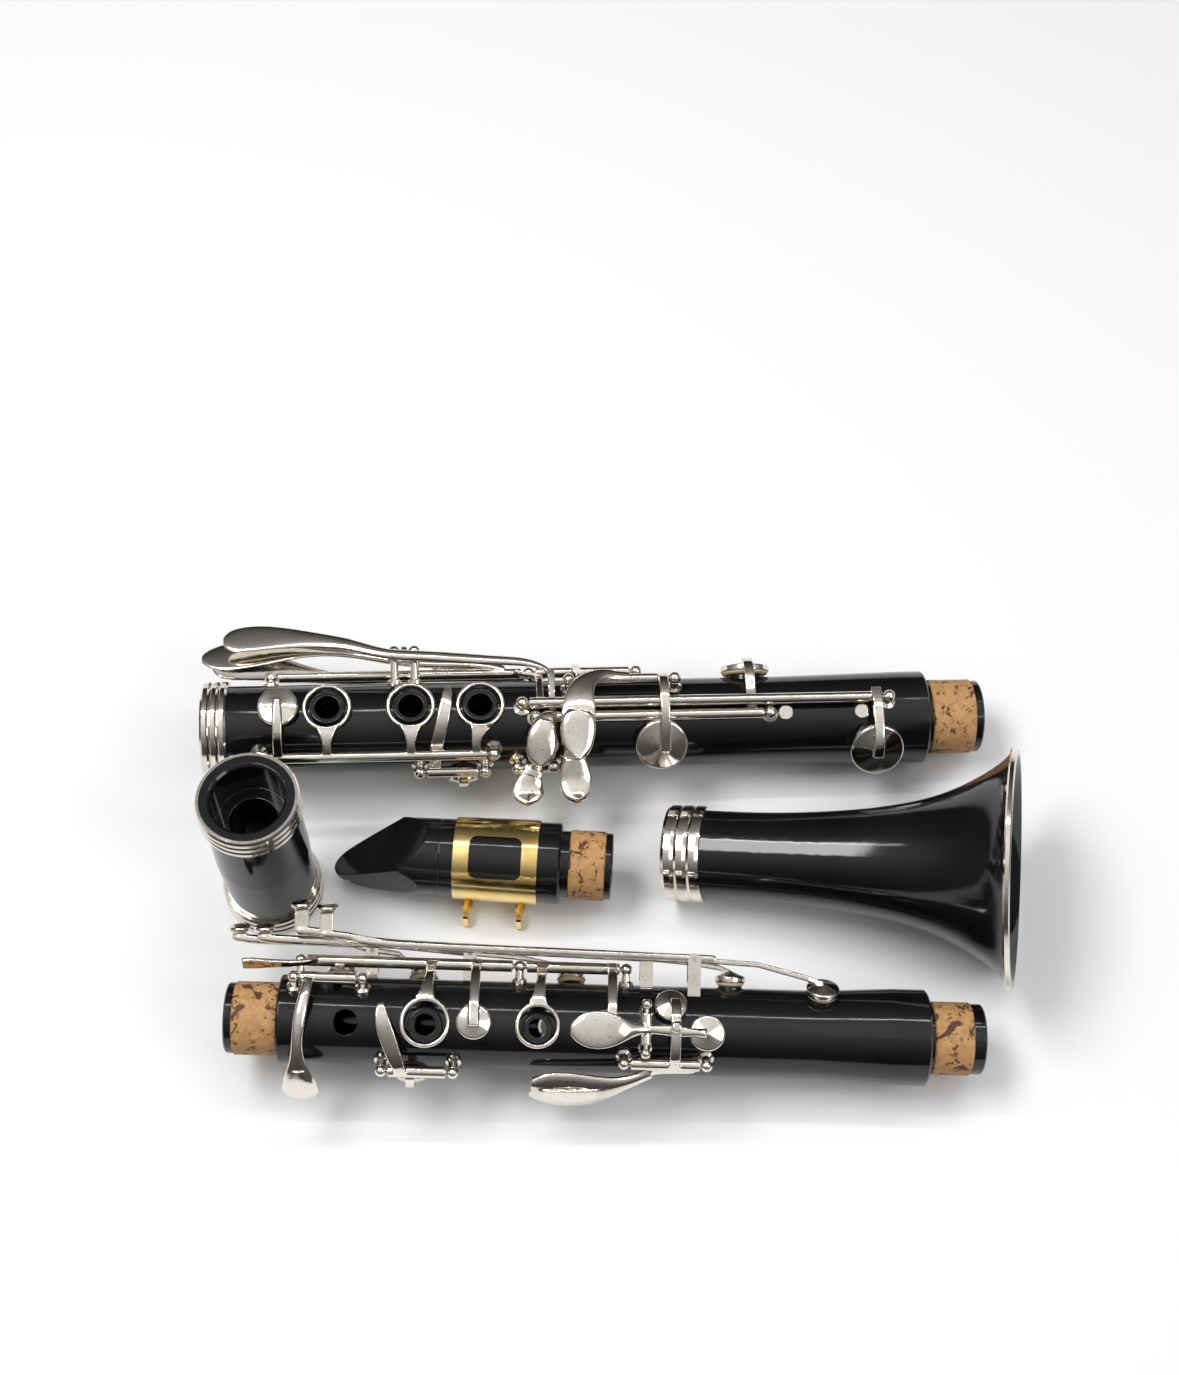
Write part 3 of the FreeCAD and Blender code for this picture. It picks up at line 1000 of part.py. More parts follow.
def bell_body():
    """A turned bell: a straight socket, then walls that flare to the rim."""
    outer = Part.BSplineCurve()
    outer.interpolate([V(BELL_RING_LEN, 0, BELL_NECK_R), V(34, 0, 14.2), V(54, 0, 15.6), V(72, 0, 18.2),
                       V(86, 0, 22.2),
                       V(97, 0, 27.8), V(104.4, 0, 33.4), V(BELL_LEN - 1.6, 0, BELL_RIM_R - 1.0)])
    inner = Part.BSplineCurve()
    inner.interpolate([V(BELL_LEN, 0, BELL_RIM_R - 2.4), V(104.0, 0, 30.2), V(96, 0, 24.8), V(84, 0, 19.4),
                       V(70, 0, 15.2), V(52, 0, 12.6), V(22, 0, 11.0)])
    seat = RING_R - 0.4 - RING_WALL
    socket = LOWER_LEN - LOWER_SHOULDER + 0.6
    start = Part.makePolygon([V(22, 0, 11.0), V(socket, 0, 11.0), V(socket, 0, BELL_SOCKET_R),
                              V(1.4, 0, BELL_SOCKET_R),
                              V(0.4, 0, BELL_SOCKET_R + 0.8), V(0.4, 0, seat), V(BELL_RING_LEN, 0, seat),
                              V(BELL_RING_LEN, 0, BELL_NECK_R)])
    rim = Part.makePolygon([V(BELL_LEN - 1.6, 0, BELL_RIM_R - 1.0), V(BELL_LEN, 0, BELL_RIM_R - 1.0),
                            V(BELL_LEN, 0, BELL_RIM_R - 2.4)])
    wire = Part.Wire([outer.toShape()] + rim.Edges + [inner.toShape()] + start.Edges)
    return Part.Face(wire).revolve(V(0, 0, 0), X_AXIS, 360)


def bell_socket_ring():
    return ridged_ring(0, BELL_RING_LEN, RING_R - 0.4 - RING_WALL, RING_R - 0.4)


def bell_rim_ring():
    return lathe([(BELL_LEN - 1.6, BELL_RIM_R - 1.0), (BELL_LEN - 2.0, BELL_RIM_R - 0.5),
                  (BELL_LEN - 1.5, BELL_RIM_R),
                  (BELL_LEN - 0.3, BELL_RIM_R), (BELL_LEN, BELL_RIM_R - 0.4), (BELL_LEN, BELL_RIM_R - 1.0)])


# ---------------------------------------------------------------- the five sections laid on the floor

KEYS = {
    "lower": {"lower_ring_key": lower_ring_key, "lower_sliver_key": lower_sliver_key, "e_key": e_key,
              "f_sharp_key": f_sharp_key, "f_key": f_key, "a_flat_key": a_flat_key, "left_e_key": left_e_key,
              "left_f_sharp_key": left_f_sharp_key, "left_f_key": left_f_key},
    "upper": {"upper_low_ring_key": upper_low_ring_key, "upper_high_ring_key": upper_high_ring_key,
              "c_sharp_key": c_sharp_key, "upper_sliver_key": upper_sliver_key, "a_key": a_key,
              "g_sharp_key": g_sharp_key, "register_key": register_key, "thumb_ring_key": thumb_ring_key},
}


def key_nodes(section):
    nodes = {}
    for name, build in KEYS[section].items():
        for suffix, shape in zip(("", "_pad"), build()):
            nodes[name + suffix] = shape
    if section == "upper":
        for number in range(len(SIDE_PIVOTS)):
            metal, disc = side_key(number)
            nodes["side_key_%d" % (number + 1)] = metal
            nodes["side_key_%d_pad" % (number + 1)] = disc
    return nodes


def section_nodes():
    lower_body, upper_body = lower_joint_body(), upper_joint_body()
    lower = {"lower_joint_body": lower_body, "lower_socket_ring": lower_socket_ring(),
             "lower_tenon_cork": lower_tenon_cork(), "lower_posts": lower_posts().cut(lower_body),
             "lower_rods": lower_rods(), "thumb_rest": thumb_rest()}
    upper = {"upper_joint_body": upper_body, "upper_tenon_corks": upper_tenon_corks(),
             "vent_tubes": vent_tubes(), "upper_posts": upper_posts().cut(upper_body),
             "upper_rods": upper_rods()}
    lower.update(key_nodes("lower"))
    upper.update(key_nodes("upper"))
    screws = ligature_screws()
    mouth = {"mouthpiece_body": mouthpiece_body(), "mouthpiece_cork": mouthpiece_cork(),
             "ligature": ligature(),
             "ligature_screw_1": screws[0], "ligature_screw_2": screws[1]}
    barrel = {"barrel_body": barrel_body(), "barrel_rings": barrel_rings()}
    bell = {"bell_body": bell_body(), "bell_socket_ring": bell_socket_ring(),
            "bell_rim_ring": bell_rim_ring()}
    return {"lower": lower, "upper": upper, "mouth": mouth, "barrel": barrel, "bell": bell}


LAYS = {"lower": LAY_LOWER, "upper": LAY_UPPER, "mouth": LAY_MOUTH, "barrel": LAY_BARREL, "bell": LAY_BELL}


def lowest(shapes):
    return min(shape.optimalBoundingBox().ZMin for shape in shapes)


def lay_down(nodes, lay):
    """Turn a section to how it lies and drop it until it touches the floor."""
    roll, tilt, swing, x, y = lay
    turn = FreeCAD.Placement(V(x, y, 0), FreeCAD.Rotation(swing, tilt, roll))
    turned_nodes = {}
    for name, shape in nodes.items():
        solid = shape.copy()
        solid.Placement = turn.multiply(shape.Placement)
        turned_nodes[name] = solid
    drop = lowest(turned_nodes.values())
    down = FreeCAD.Placement(V(0, 0, -drop), FreeCAD.Rotation())
    for solid in turned_nodes.values():
        solid.Placement = down.multiply(solid.Placement)
    return turned_nodes, down.multiply(turn)


def main():
    os.makedirs("parts", exist_ok=True)
    for name, nodes in section_nodes().items():
        laid, _ = lay_down(nodes, LAYS[name])
        for node, shape in laid.items():
            shape.exportStep("parts/%s.step" % node)


main()
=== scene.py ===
"""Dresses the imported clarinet: resin, nickel, brass, cork and pad skins, on a pale studio floor.

The keys also get a polished skin: their corners and soldered joints are rounded off, the touches that fingers
press are domed, and the bars of the side keys are filled out.
"""
import json
import math
from collections import namedtuple

import bmesh
import bpy
from mathutils import Matrix, Vector

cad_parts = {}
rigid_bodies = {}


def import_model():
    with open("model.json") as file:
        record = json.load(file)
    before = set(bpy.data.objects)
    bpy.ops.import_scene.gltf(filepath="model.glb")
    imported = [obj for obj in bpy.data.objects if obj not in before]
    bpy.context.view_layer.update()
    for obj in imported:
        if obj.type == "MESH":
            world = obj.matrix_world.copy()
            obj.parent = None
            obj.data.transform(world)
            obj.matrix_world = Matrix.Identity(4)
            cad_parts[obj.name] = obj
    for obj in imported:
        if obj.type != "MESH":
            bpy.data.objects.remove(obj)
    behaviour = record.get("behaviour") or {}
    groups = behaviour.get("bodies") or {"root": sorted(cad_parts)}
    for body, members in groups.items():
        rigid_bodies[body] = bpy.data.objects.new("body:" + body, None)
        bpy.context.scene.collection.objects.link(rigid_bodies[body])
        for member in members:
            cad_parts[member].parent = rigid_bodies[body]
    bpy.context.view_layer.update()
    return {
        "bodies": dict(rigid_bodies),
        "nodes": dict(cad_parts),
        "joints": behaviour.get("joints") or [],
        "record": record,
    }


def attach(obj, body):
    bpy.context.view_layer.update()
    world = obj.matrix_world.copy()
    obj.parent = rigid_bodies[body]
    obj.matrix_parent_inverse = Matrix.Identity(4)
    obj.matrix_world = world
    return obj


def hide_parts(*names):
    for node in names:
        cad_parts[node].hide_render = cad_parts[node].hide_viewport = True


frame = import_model()

NODES = frame["nodes"]
JOINTS = {joint["name"]: joint for joint in frame["joints"]}
MM_PER_M = 1000.0

# ---------------------------------------------------------------- camera: where the viewer stands
LENS = 53.3                      # on a 36 mm long side
SENSOR = 36.0
ELEVATION = math.radians(59.4)
DISTANCE = 0.680
TARGET = Vector((-0.0066, 0.0664, 0.017))

# ---------------------------------------------------------------- colours
RESIN_DARK, RESIN_BLOOM = (0.0035, 0.0038, 0.0045), (0.008, 0.0082, 0.009)
NICKEL_TINT, NICKEL_STAIN, NICKEL_SPECK = (0.80, 0.75, 0.675), (0.42, 0.33, 0.23), (0.22, 0.17, 0.12)
CORK_DARK, CORK_MID, CORK_PALE = (0.36, 0.175, 0.062), (0.55, 0.30, 0.118), (0.68, 0.42, 0.19)
CORK_CELL, CORK_PIT = (0.42, 0.22, 0.085), (0.09, 0.038, 0.015)
PAD_SHADE, PAD_PALE = (0.55, 0.38, 0.22), (0.74, 0.58, 0.39)
BRASS_ORANGE, BRASS_YELLOW = (0.94, 0.66, 0.20), (1.0, 0.78, 0.34)
STEEL_DARK, STEEL_PALE = (0.40, 0.39, 0.38), (0.60, 0.59, 0.57)

# ---------------------------------------------------------------- how a key's skin is rebuilt, in metres
WELD = 1e-6                      # corners nearer than this are one
KEY_VOXEL = 0.00024
KEY_ROUNDING = 5                 # turns of smoothing
KEY_PLATING = 0.00003            # makes up for what smoothing takes off
STATION_STEPS = 5                # rings between two stations of a swell
SWELL_SIDES = 20
OVAL, BOXY = 2.0, 3.2            # how square a swell's cross-section is

# ---------------------------------------------------------------- floor, room and lamps
FLOOR_SIZE = 6.0
FLOOR_COLOUR = (0.62, 0.62, 0.62)
FLOOR_MOTTLE = 1.02
FLOOR_SEEN = (0.93, 0.93, 0.93)
# How bright the room is: by height, from 0 level to 1 straight up, and by depth, from 0 in front to 1 behind.
ROOM_BY_HEIGHT = ((0.0, 0.12), (0.35, 0.22), (0.70, 0.62), (0.88, 0.88), (1.0, 1.0))
ROOM_BY_DEPTH = ((0.0, 0.35), (0.30, 0.80), (0.50, 1.0), (0.64, 0.75), (0.76, 0.34), (1.0, 0.16))
# Soft lamps, all aimed at the middle of the floor: name, place, width, depth, watts.
LAMPS = (
    ("key_softbox", (-0.45, 0.06, 1.05), 0.6, 0.3, 6.0),
    ("tube_light", (0.0, 0.32, 1.05), 1.6, 0.02, 2.4),
    ("fill_softbox", (0.75, -0.45, 0.85), 0.5, 0.5, 3.0),
)


# ---------------------------------------------------------------- node helpers

# Sockets of a colour Mix node: its two colours, and what comes out.
MIX_A, MIX_B, MIX_RESULT = 6, 7, 2


class Shader:
    """A material with a principled shader, and short ways to add nodes to it."""

    def __init__(self, name):
        self.material = bpy.data.materials.new(name)
        self.material.use_nodes = True
        self.tree = self.material.node_tree
        self.shader = self.tree.nodes["Principled BSDF"]
        self.place = self.add("ShaderNodeTexCoord").outputs["Object"]

    def add(self, kind, **settings):
        node = self.tree.nodes.new(kind)
        for key, value in settings.items():
            setattr(node, key, value)
        return node

    def link(self, source, target):
        self.tree.links.new(source, target)

    def set(self, **values):
        """Plain values for the shader's own sockets, with _ for each blank in their names."""
        for key, value in values.items():
            self.shader.inputs[key.replace("_", " ")].default_value = value

    def stretched(self, scale):
        """Object coordinates scaled by an amount for each axis."""
        mapping = self.add("ShaderNodeMapping")
        mapping.inputs["Scale"].default_value = scale
        self.link(self.place, mapping.inputs["Vector"])
        return mapping.outputs["Vector"]

    def noise(self, scale, detail, rough=0.55, vector=None, distortion=0.0):
        """Soft random values, scale blobs to the metre."""
        node = self.add("ShaderNodeTexNoise")
        node.inputs["Scale"].default_value = scale
        node.inputs["Detail"].default_value = detail
        node.inputs["Roughness"].default_value = rough
        node.inputs["Distortion"].default_value = distortion
        self.link(vector or self.place, node.inputs["Vector"])
        return node.outputs["Fac"]

    def spread(self, value, given, wanted):
        """Maps a value from the given range to the wanted one, held at the ends."""
        node = self.add("ShaderNodeMapRange")
        ends = ("From Min", "From Max", "To Min", "To Max")
        for key, number in zip(ends, (*given, *wanted)):
            node.inputs[key].default_value = number
        self.link(value, node.inputs["Value"])
        return node.outputs["Result"]

    def ramp(self, value, *stops):
        """Colours at places along a value: (place, (r, g, b))."""
        node = self.add("ShaderNodeValToRGB")
        elements = node.color_ramp.elements
        while len(elements) < len(stops):
            elements.new(0.5)
        for element, (place, colour) in zip(elements, stops):
            element.position = place
            element.color = (*colour, 1.0)
        self.link(value, node.inputs["Fac"])
        return node.outputs["Color"]

    def mix(self, factor, a, b):
        """Goes from colour a to colour b as factor, a socket, goes from 0 to 1."""
        node = self.add("ShaderNodeMix", data_type="RGBA")
        self.link(factor, node.inputs["Factor"])
        for socket, value in ((MIX_A, a), (MIX_B, b)):
            if isinstance(value, tuple):
                node.inputs[socket].default_value = (*value, 1.0)
            else:
                self.link(value, node.inputs[socket])
        return node.outputs[MIX_RESULT]

    def math(self, operation, a, b):
        """Sums on two values, each a socket or a number."""
        node = self.add("ShaderNodeMath", operation=operation)
        for socket, value in zip(node.inputs, (a, b)):
            if isinstance(value, (int, float)):
                socket.default_value = value
            else:
                self.link(value, socket)
        return node.outputs["Value"]

    def bump(self, height, strength, distance, under=None):
        """Fine relief from a height, laid over other normals if some are given."""
        node = self.add("ShaderNodeBump")
        node.inputs["Strength"].default_value = strength
        node.inputs["Distance"].default_value = distance
        self.link(height, node.inputs["Height"])
        if under is not None:
            self.link(under, node.inputs["Normal"])
        return node.outputs["Normal"]

    def soft_edges(self, radius):
        """Normals that turn round the corners, as polished or moulded edges do."""
        node = self.add("ShaderNodeBevel", samples=6)
        node.inputs["Radius"].default_value = radius
        return node.outputs["Normal"]

    def use(self, **sockets):
        """Wires sockets to the shader and hands over the material."""
        for key, source in sockets.items():
            self.link(source, self.shader.inputs[key.replace("_", " ")])
        return self.material


# ---------------------------------------------------------------- materials

def black_plastic():
    """Moulded black resin: a soft gloss, fine scratches from swabbing and handling, faint bloom."""
    s = Shader("joint_resin")
    s.set(IOR=1.5, Specular_IOR_Level=0.5)
    bloom = s.noise(scale=38.0, detail=5.0, rough=0.6)
    scratches = s.noise(scale=1.0, detail=3.0, rough=0.7, vector=s.stretched((60.0, 2600.0, 2600.0)))
    colour = s.ramp(bloom, (0.30, RESIN_DARK), (0.75, RESIN_BLOOM))
    gloss = s.spread(bloom, (0.3, 0.75), (0.06, 0.12))
    scuffed = s.spread(scratches, (0.62, 0.78), (0.0, 0.12))
    rough = s.math("ADD", gloss, scuffed)
    moulded = s.soft_edges(0.0004)
    fine = s.bump(s.noise(scale=900.0, detail=3.0), strength=0.06, distance=0.00003, under=moulded)
    normal = s.bump(scratches, strength=0.10, distance=0.00005, under=fine)
    return s.use(Base_Color=colour, Roughness=rough, Normal=normal)


def nickel():
    """Nickel plate: bright where it is handled, with warm tarnish in patches and fine wiping marks."""
    s = Shader("nickel_plate")
    s.set(Metallic=1.0)
    patches = s.noise(scale=85.0, detail=5.0, rough=0.62)
    fine = s.noise(scale=640.0, detail=4.0, rough=0.6)
    specks = s.spread(s.noise(scale=1500.0, detail=2.0, rough=0.5), (0.66, 0.72), (0.0, 0.7))
    worn = s.mix(s.spread(patches, (0.50, 0.78), (0.0, 0.62)), NICKEL_TINT, NICKEL_STAIN)
    colour = s.mix(specks, worn, NICKEL_SPECK)
    tarnished = s.spread(patches, (0.35, 0.75), (0.05, 0.17))
    wiped = s.spread(fine, (0.4, 0.7), (0.0, 0.05))
    rough = s.math("ADD", tarnished, wiped)
    dents = s.bump(s.noise(scale=260.0, detail=2.0), strength=0.22, distance=0.00016)
    normal = s.bump(fine, strength=0.08, distance=0.00003, under=dents)
    return s.use(Base_Color=colour, Roughness=rough, Normal=normal)


def cork():
    """Sheet cork with dark pits and pale grains, rubbed smooth by the sockets."""
    s = Shader("tenon_cork")
    grain = s.noise(scale=520.0, detail=6.0, rough=0.7)
    cells = s.add("ShaderNodeTexVoronoi", feature="F1")
    cells.inputs["Scale"].default_value = 420.0
    s.link(s.place, cells.inputs["Vector"])
    pits = s.spread(s.noise(scale=300.0, detail=4.0, rough=0.75, distortion=0.6), (0.565, 0.61), (0.0, 1.0))
    big_pits = s.spread(s.noise(scale=130.0, detail=3.0, rough=0.6, distortion=0.9), (0.61, 0.64), (0.0, 1.0))
    holes = s.math("MAXIMUM", pits, big_pits)
    base = s.ramp(grain, (0.28, CORK_DARK), (0.52, CORK_MID), (0.76, CORK_PALE))
    toned = s.mix(s.spread(cells.outputs["Distance"], (0.0, 0.7), (0.0, 0.35)), base, CORK_CELL)
    colour = s.mix(holes, toned, CORK_PIT)
    height = s.math("SUBTRACT", s.math("MULTIPLY", grain, 0.4), holes)
    rough = s.spread(grain, (0.3, 0.7), (0.55, 0.8))
    return s.use(Base_Color=colour, Roughness=rough, Normal=s.bump(height, strength=0.8, distance=0.0002))


def pad_skin():
    """Fish-skin pad: a thin tan membrane over felt, faintly wrinkled."""
    s = Shader("pad_membrane")
    s.set(Subsurface_Weight=0.08, Subsurface_Scale=0.001)
    mottle = s.noise(scale=330.0, detail=4.0, rough=0.6)
    wrinkle = s.noise(scale=900.0, detail=3.0, rough=0.6, distortion=1.2)
    colour = s.ramp(mottle, (0.3, PAD_SHADE), (0.7, PAD_PALE))
    rough = s.spread(mottle, (0.3, 0.7), (0.42, 0.62))
    return s.use(Base_Color=colour, Roughness=rough, Normal=s.bump(wrinkle, strength=0.35, distance=0.0001))


def gold_brass():
    """Lacquered brass, bright, with slight orange clouding."""
    s = Shader("lacquered_brass")
    s.set(Metallic=1.0, Coat_Weight=0.35, Coat_Roughness=0.06)
    cloud = s.noise(scale=140.0, detail=4.0, rough=0.6)
    colour = s.ramp(cloud, (0.3, BRASS_ORANGE), (0.72, BRASS_YELLOW))
    rough = s.spread(cloud, (0.3, 0.7), (0.10, 0.22))
    ripple = s.bump(s.noise(scale=700.0, detail=3.0), strength=0.08, distance=0.00004)
    return s.use(Base_Color=colour, Roughness=rough, Normal=ripple)


def rod_steel():
    """Turned steel with fine rings round the rod."""
    s = Shader("rod_steel")
    s.set(Metallic=1.0)
    turning = s.noise(scale=1.0, detail=2.0, rough=0.5, vector=s.stretched((5000.0, 300.0, 300.0)))
    colour = s.ramp(turning, (0.3, STEEL_DARK), (0.7, STEEL_PALE))
    rough = s.spread(turning, (0.3, 0.7), (0.22, 0.36))
    return s.use(Base_Color=colour, Roughness=rough, Normal=s.bump(turning, strength=0.12, distance=0.00003))


# ---------------------------------------------------------------- dress the frame

MATERIALS = {
    "body_plastic": black_plastic(),
    "key_metal": nickel(),
    "rod_steel": rod_steel(),
    "cork": cork(),
    "pad_skin": pad_skin(),
    "ligature_brass": gold_brass(),
}


def dress(node, material):
    """Gives a carried-over node its material."""
    thing = NODES[node]
    thing.data.materials.clear()
    thing.data.materials.append(material)


for part in frame["record"]["subparts"]:
    dress(part["node"], MATERIALS[part["material_slot"]])


# ---------------------------------------------------------------- where the two joints lie

def section_frame(along, first, first_place, second, second_place):
    """Turns a place on a section, in mm along its bore line and across it, into a place in the scene.

    along is a hinge that lies along the bore; first and second are two hinges whose places are known.
    """
    line = Vector(JOINTS[along]["axis"]).normalized()
    known = (Vector(first_place) - Vector(second_place)) / MM_PER_M
    seen = Vector(JOINTS[first]["pos_m"]) - Vector(JOINTS[second]["pos_m"]) - line * known.x
    turned = line.cross(seen)
    size = known.y ** 2 + known.z ** 2
    side = (seen * known.y - turned * known.z) / size
    top = (seen * known.z + turned * known.y) / size
    axes = Matrix((line, side, top)).transposed()
    start = Vector(JOINTS[first]["pos_m"]) - axes @ (Vector(first_place) / MM_PER_M)
    return Matrix.Translation(start) @ axes.to_4x4() @ Matrix.Scale(1.0 / MM_PER_M, 4)


# Where these hinges lie on their own sections, in mm.
A_HINGE, REGISTER_HINGE = (125.1, 0.0, 17.2), (150.0, 0.0, -17.6)
E_HINGE, A_FLAT_HINGE = (160.0, -0.979, 18.674), (109.0, -17.495, 5.017)

UPPER = section_frame("c_sharp_hinge", "a_hinge", A_HINGE, "register_hinge", REGISTER_HINGE)
LOWER = section_frame("e_hinge", "e_hinge", E_HINGE, "a_flat_hinge", A_FLAT_HINGE)


# ---------------------------------------------------------------- keys with polished, soldered forms

# A rounded form that a key's plain solid lacks. Its stations are (x, y, z, half width) in mm on the section
# that place stands for, way is how its width lies there, and squareness rounds or squares its cross-section.
Swell = namedtuple("Swell", "place stations way half_thick squareness", defaults=(OVAL,))


def curve_between(before, a, b, after, t):
    """A place between a and b on the smooth curve through four stations."""
    return 0.5 * (2 * a + (b - before) * t + (2 * before - 5 * a + 4 * b - after) * t * t
                  + (3 * a - before - 3 * b + after) * t ** 3)


def smooth_stations(stations):
    """More stations between those given, on a curve through all of them."""
    result = []
    last = len(stations) - 1
    for i in range(last):
        four = (stations[max(i - 1, 0)], stations[i], stations[i + 1], stations[min(i + 2, last)])
        for step in range(STATION_STEPS):
            t = step / STATION_STEPS
            result.append([curve_between(*values, t) for values in zip(*four)])
    return result + [list(stations[last])]


def squared(value, squareness):
    """A sine or cosine pushed out so that the oval it draws is more of a box."""
    return math.copysign(abs(value) ** (2.0 / squareness), value)


def swell_ring(work, swell, station, travel):
    """One ring of corners round a station, square to the way the swell travels."""
    x, y, z, half_width = station
    wide = (Vector(swell.way) - travel * travel.dot(Vector(swell.way))).normalized()
    thin = travel.cross(wide)
    ring = []
    for k in range(SWELL_SIDES):
        angle = 2 * math.pi * k / SWELL_SIDES
        u = squared(math.cos(angle), swell.squareness)
        v = squared(math.sin(angle), swell.squareness)
        corner = Vector((x, y, z)) + wide * half_width * u + thin * swell.half_thick * v
        ring.append(work.verts.new(swell.place @ corner))
    return ring


def add_swell(work, swell):
    """Adds a swell as a closed tube whose rings stand on its smoothed stations."""
    rings = []
    path = smooth_stations(swell.stations)
    for i, station in enumerate(path):
        ahead, behind = path[min(i + 1, len(path) - 1)], path[max(i - 1, 0)]
        travel = (Vector(ahead[:3]) - Vector(behind[:3])).normalized()
        rings.append(swell_ring(work, swell, station, travel))
    for ring, following in zip(rings, rings[1:]):
        for k in range(SWELL_SIDES):
            after = (k + 1) % SWELL_SIDES
            work.faces.new((ring[k], ring[after], following[after], following[k]))
    work.faces.new(rings[0][::-1])
    work.faces.new(rings[-1])


def opened(place, joint, degrees):
    """A section's places carried round a hinge, for a key that stands open."""
    pivot = Vector(JOINTS[joint]["pos_m"])
    turn = Matrix.Rotation(math.radians(degrees), 4, Vector(JOINTS[joint]["axis"]))
    return Matrix.Translation(pivot) @ turn @ Matrix.Translation(-pivot) @ place


# Side keys: how far their front bars stand out from the bore line where they bend and at their pins, and
# how wide and thick they are. A long bar bends at BAR_BEND_X, and a short one a little before its pin.
BAR_BEND_X, SHORT_BAR, SHORT_BAR_BEND = 50.0, 56.0, 6.0
BAR_BEND_OUT, BAR_PIN_OUT, BAR_END_OUT = 23.35, 21.9, 21.6
BAR_HALF_W, BAR_TIP_HALF_W, BAR_END_HALF_W = 1.7, 1.2, 1.5
BAR_HALF_T, TOP_BAR_HALF_T = 1.4, 1.1
# The four bars, from the lowest up: pin along the joint, level, touch along the joint, touch out from it.
SIDE_BARS = (
    (42.0, -8.8, 1.1, 24.0),
    (72.0, -4.1, 9.3, 24.2),
    (125.5, 0.6, 20.9, 26.6),
    (139.6, 5.3, 29.0, 25.8),
)


def side_bar(pin_x, level, touch_x, touch_out):
    """Stations of a side key's front bar, from its touch to its pin."""
    bend_x = BAR_BEND_X if pin_x > SHORT_BAR else pin_x - SHORT_BAR_BEND
    return [(touch_x - 1.4, touch_out, level, BAR_TIP_HALF_W),
            (touch_x, touch_out, level, BAR_HALF_W),
            (touch_x + 7.0, touch_out - 0.5, level, BAR_HALF_W),
            (bend_x, BAR_BEND_OUT, level, BAR_HALF_W),
            (pin_x - 1.5, BAR_PIN_OUT, level, BAR_HALF_W),
            (pin_x + 2.0, BAR_END_OUT, level, BAR_END_HALF_W)]


LENGTHWISE, UPRIGHT, G_SHARP_SLANT = (1.0, 0.0, 0.0), (0.0, 0.0, 1.0), (0.0, 0.87, 0.5)

# How far the keys that rest open have turned from where their stations were taken, in degrees.
F_OPEN, E_OPEN = -7.0, -8.0

F_TOUCH = [(121.0, -8.0, 23.2, 3.2), (120.7, -10.0, 22.5, 5.2), (120.3, -14.0, 20.4, 5.6),
           (120.2, -18.6, 18.1, 4.3), (120.2, -22.0, 16.8, 1.2)]
E_TOUCH = [(119.4, -17.5, 11.2, 3.6), (119.5, -20.4, 9.0, 4.8), (119.6, -23.6, 6.9, 5.3),
           (119.8, -27.6, 5.7, 4.3), (119.9, -30.2, 5.8, 1.2)]
F_SHARP_TOUCH = [(110.2, -8.6, 21.6, 2.8), (109.3, -12.0, 20.8, 4.4), (108.8, -16.0, 19.0, 4.9),
                 (108.5, -19.6, 17.0, 4.1), (108.4, -21.8, 15.8, 1.2)]
A_FLAT_TOUCH = [(105.8, -20.6, 5.4, 3.7), (104.8, -23.6, 4.1, 4.9), (104.4, -26.0, 3.7, 5.3),
                (104.2, -28.4, 3.9, 3.9), (104.2, -30.0, 4.2, 1.2)]
G_SHARP_TOUCH = [(127.0, -12.2, 12.4, 1.6), (120.0, -15.2, 10.4, 2.2), (113.0, -17.0, 8.8, 3.8),
                 (105.0, -17.1, 7.6, 4.6), (97.0, -17.0, 7.2, 4.4), (91.8, -16.6, 7.0, 2.0)]
C_SHARP_TOUCH = [(23.4, -14.1, 13.6, 2.2), (23.6, -17.8, 11.1, 4.4), (23.8, -20.2, 8.2, 5.5),
                 (24.0, -21.4, 5.1, 4.9), (24.0, -21.9, 2.6, 2.2)]

SWELLS = {
    "f_key": Swell(opened(LOWER, "f_hinge", F_OPEN), F_TOUCH, LENGTHWISE, 1.35),
    "e_key": Swell(opened(LOWER, "e_hinge", E_OPEN), E_TOUCH, LENGTHWISE, 1.3),
    "f_sharp_key": Swell(LOWER, F_SHARP_TOUCH, LENGTHWISE, 1.3),
    "a_flat_key": Swell(LOWER, A_FLAT_TOUCH, LENGTHWISE, 1.3),
    "g_sharp_key": Swell(UPPER, G_SHARP_TOUCH, G_SHARP_SLANT, 1.3),
    "c_sharp_key": Swell(UPPER, C_SHARP_TOUCH, LENGTHWISE, 1.4),
    "side_key_1": Swell(UPPER, side_bar(*SIDE_BARS[0]), UPRIGHT, BAR_HALF_T, BOXY),
    "side_key_2": Swell(UPPER, side_bar(*SIDE_BARS[1]), UPRIGHT, BAR_HALF_T, BOXY),
    "side_key_3": Swell(UPPER, side_bar(*SIDE_BARS[2]), UPRIGHT, BAR_HALF_T, BOXY),
    "side_key_4": Swell(UPPER, side_bar(*SIDE_BARS[3]), UPRIGHT, TOP_BAR_HALF_T, BOXY),
}


def moving_keys():
    """Every key of the keywork: a body whose main node carries its own name and is plated."""
    return [part["node"] for part in frame["record"]["subparts"]
            if part["node"] in frame["bodies"] and part["material_slot"] == "key_metal"]


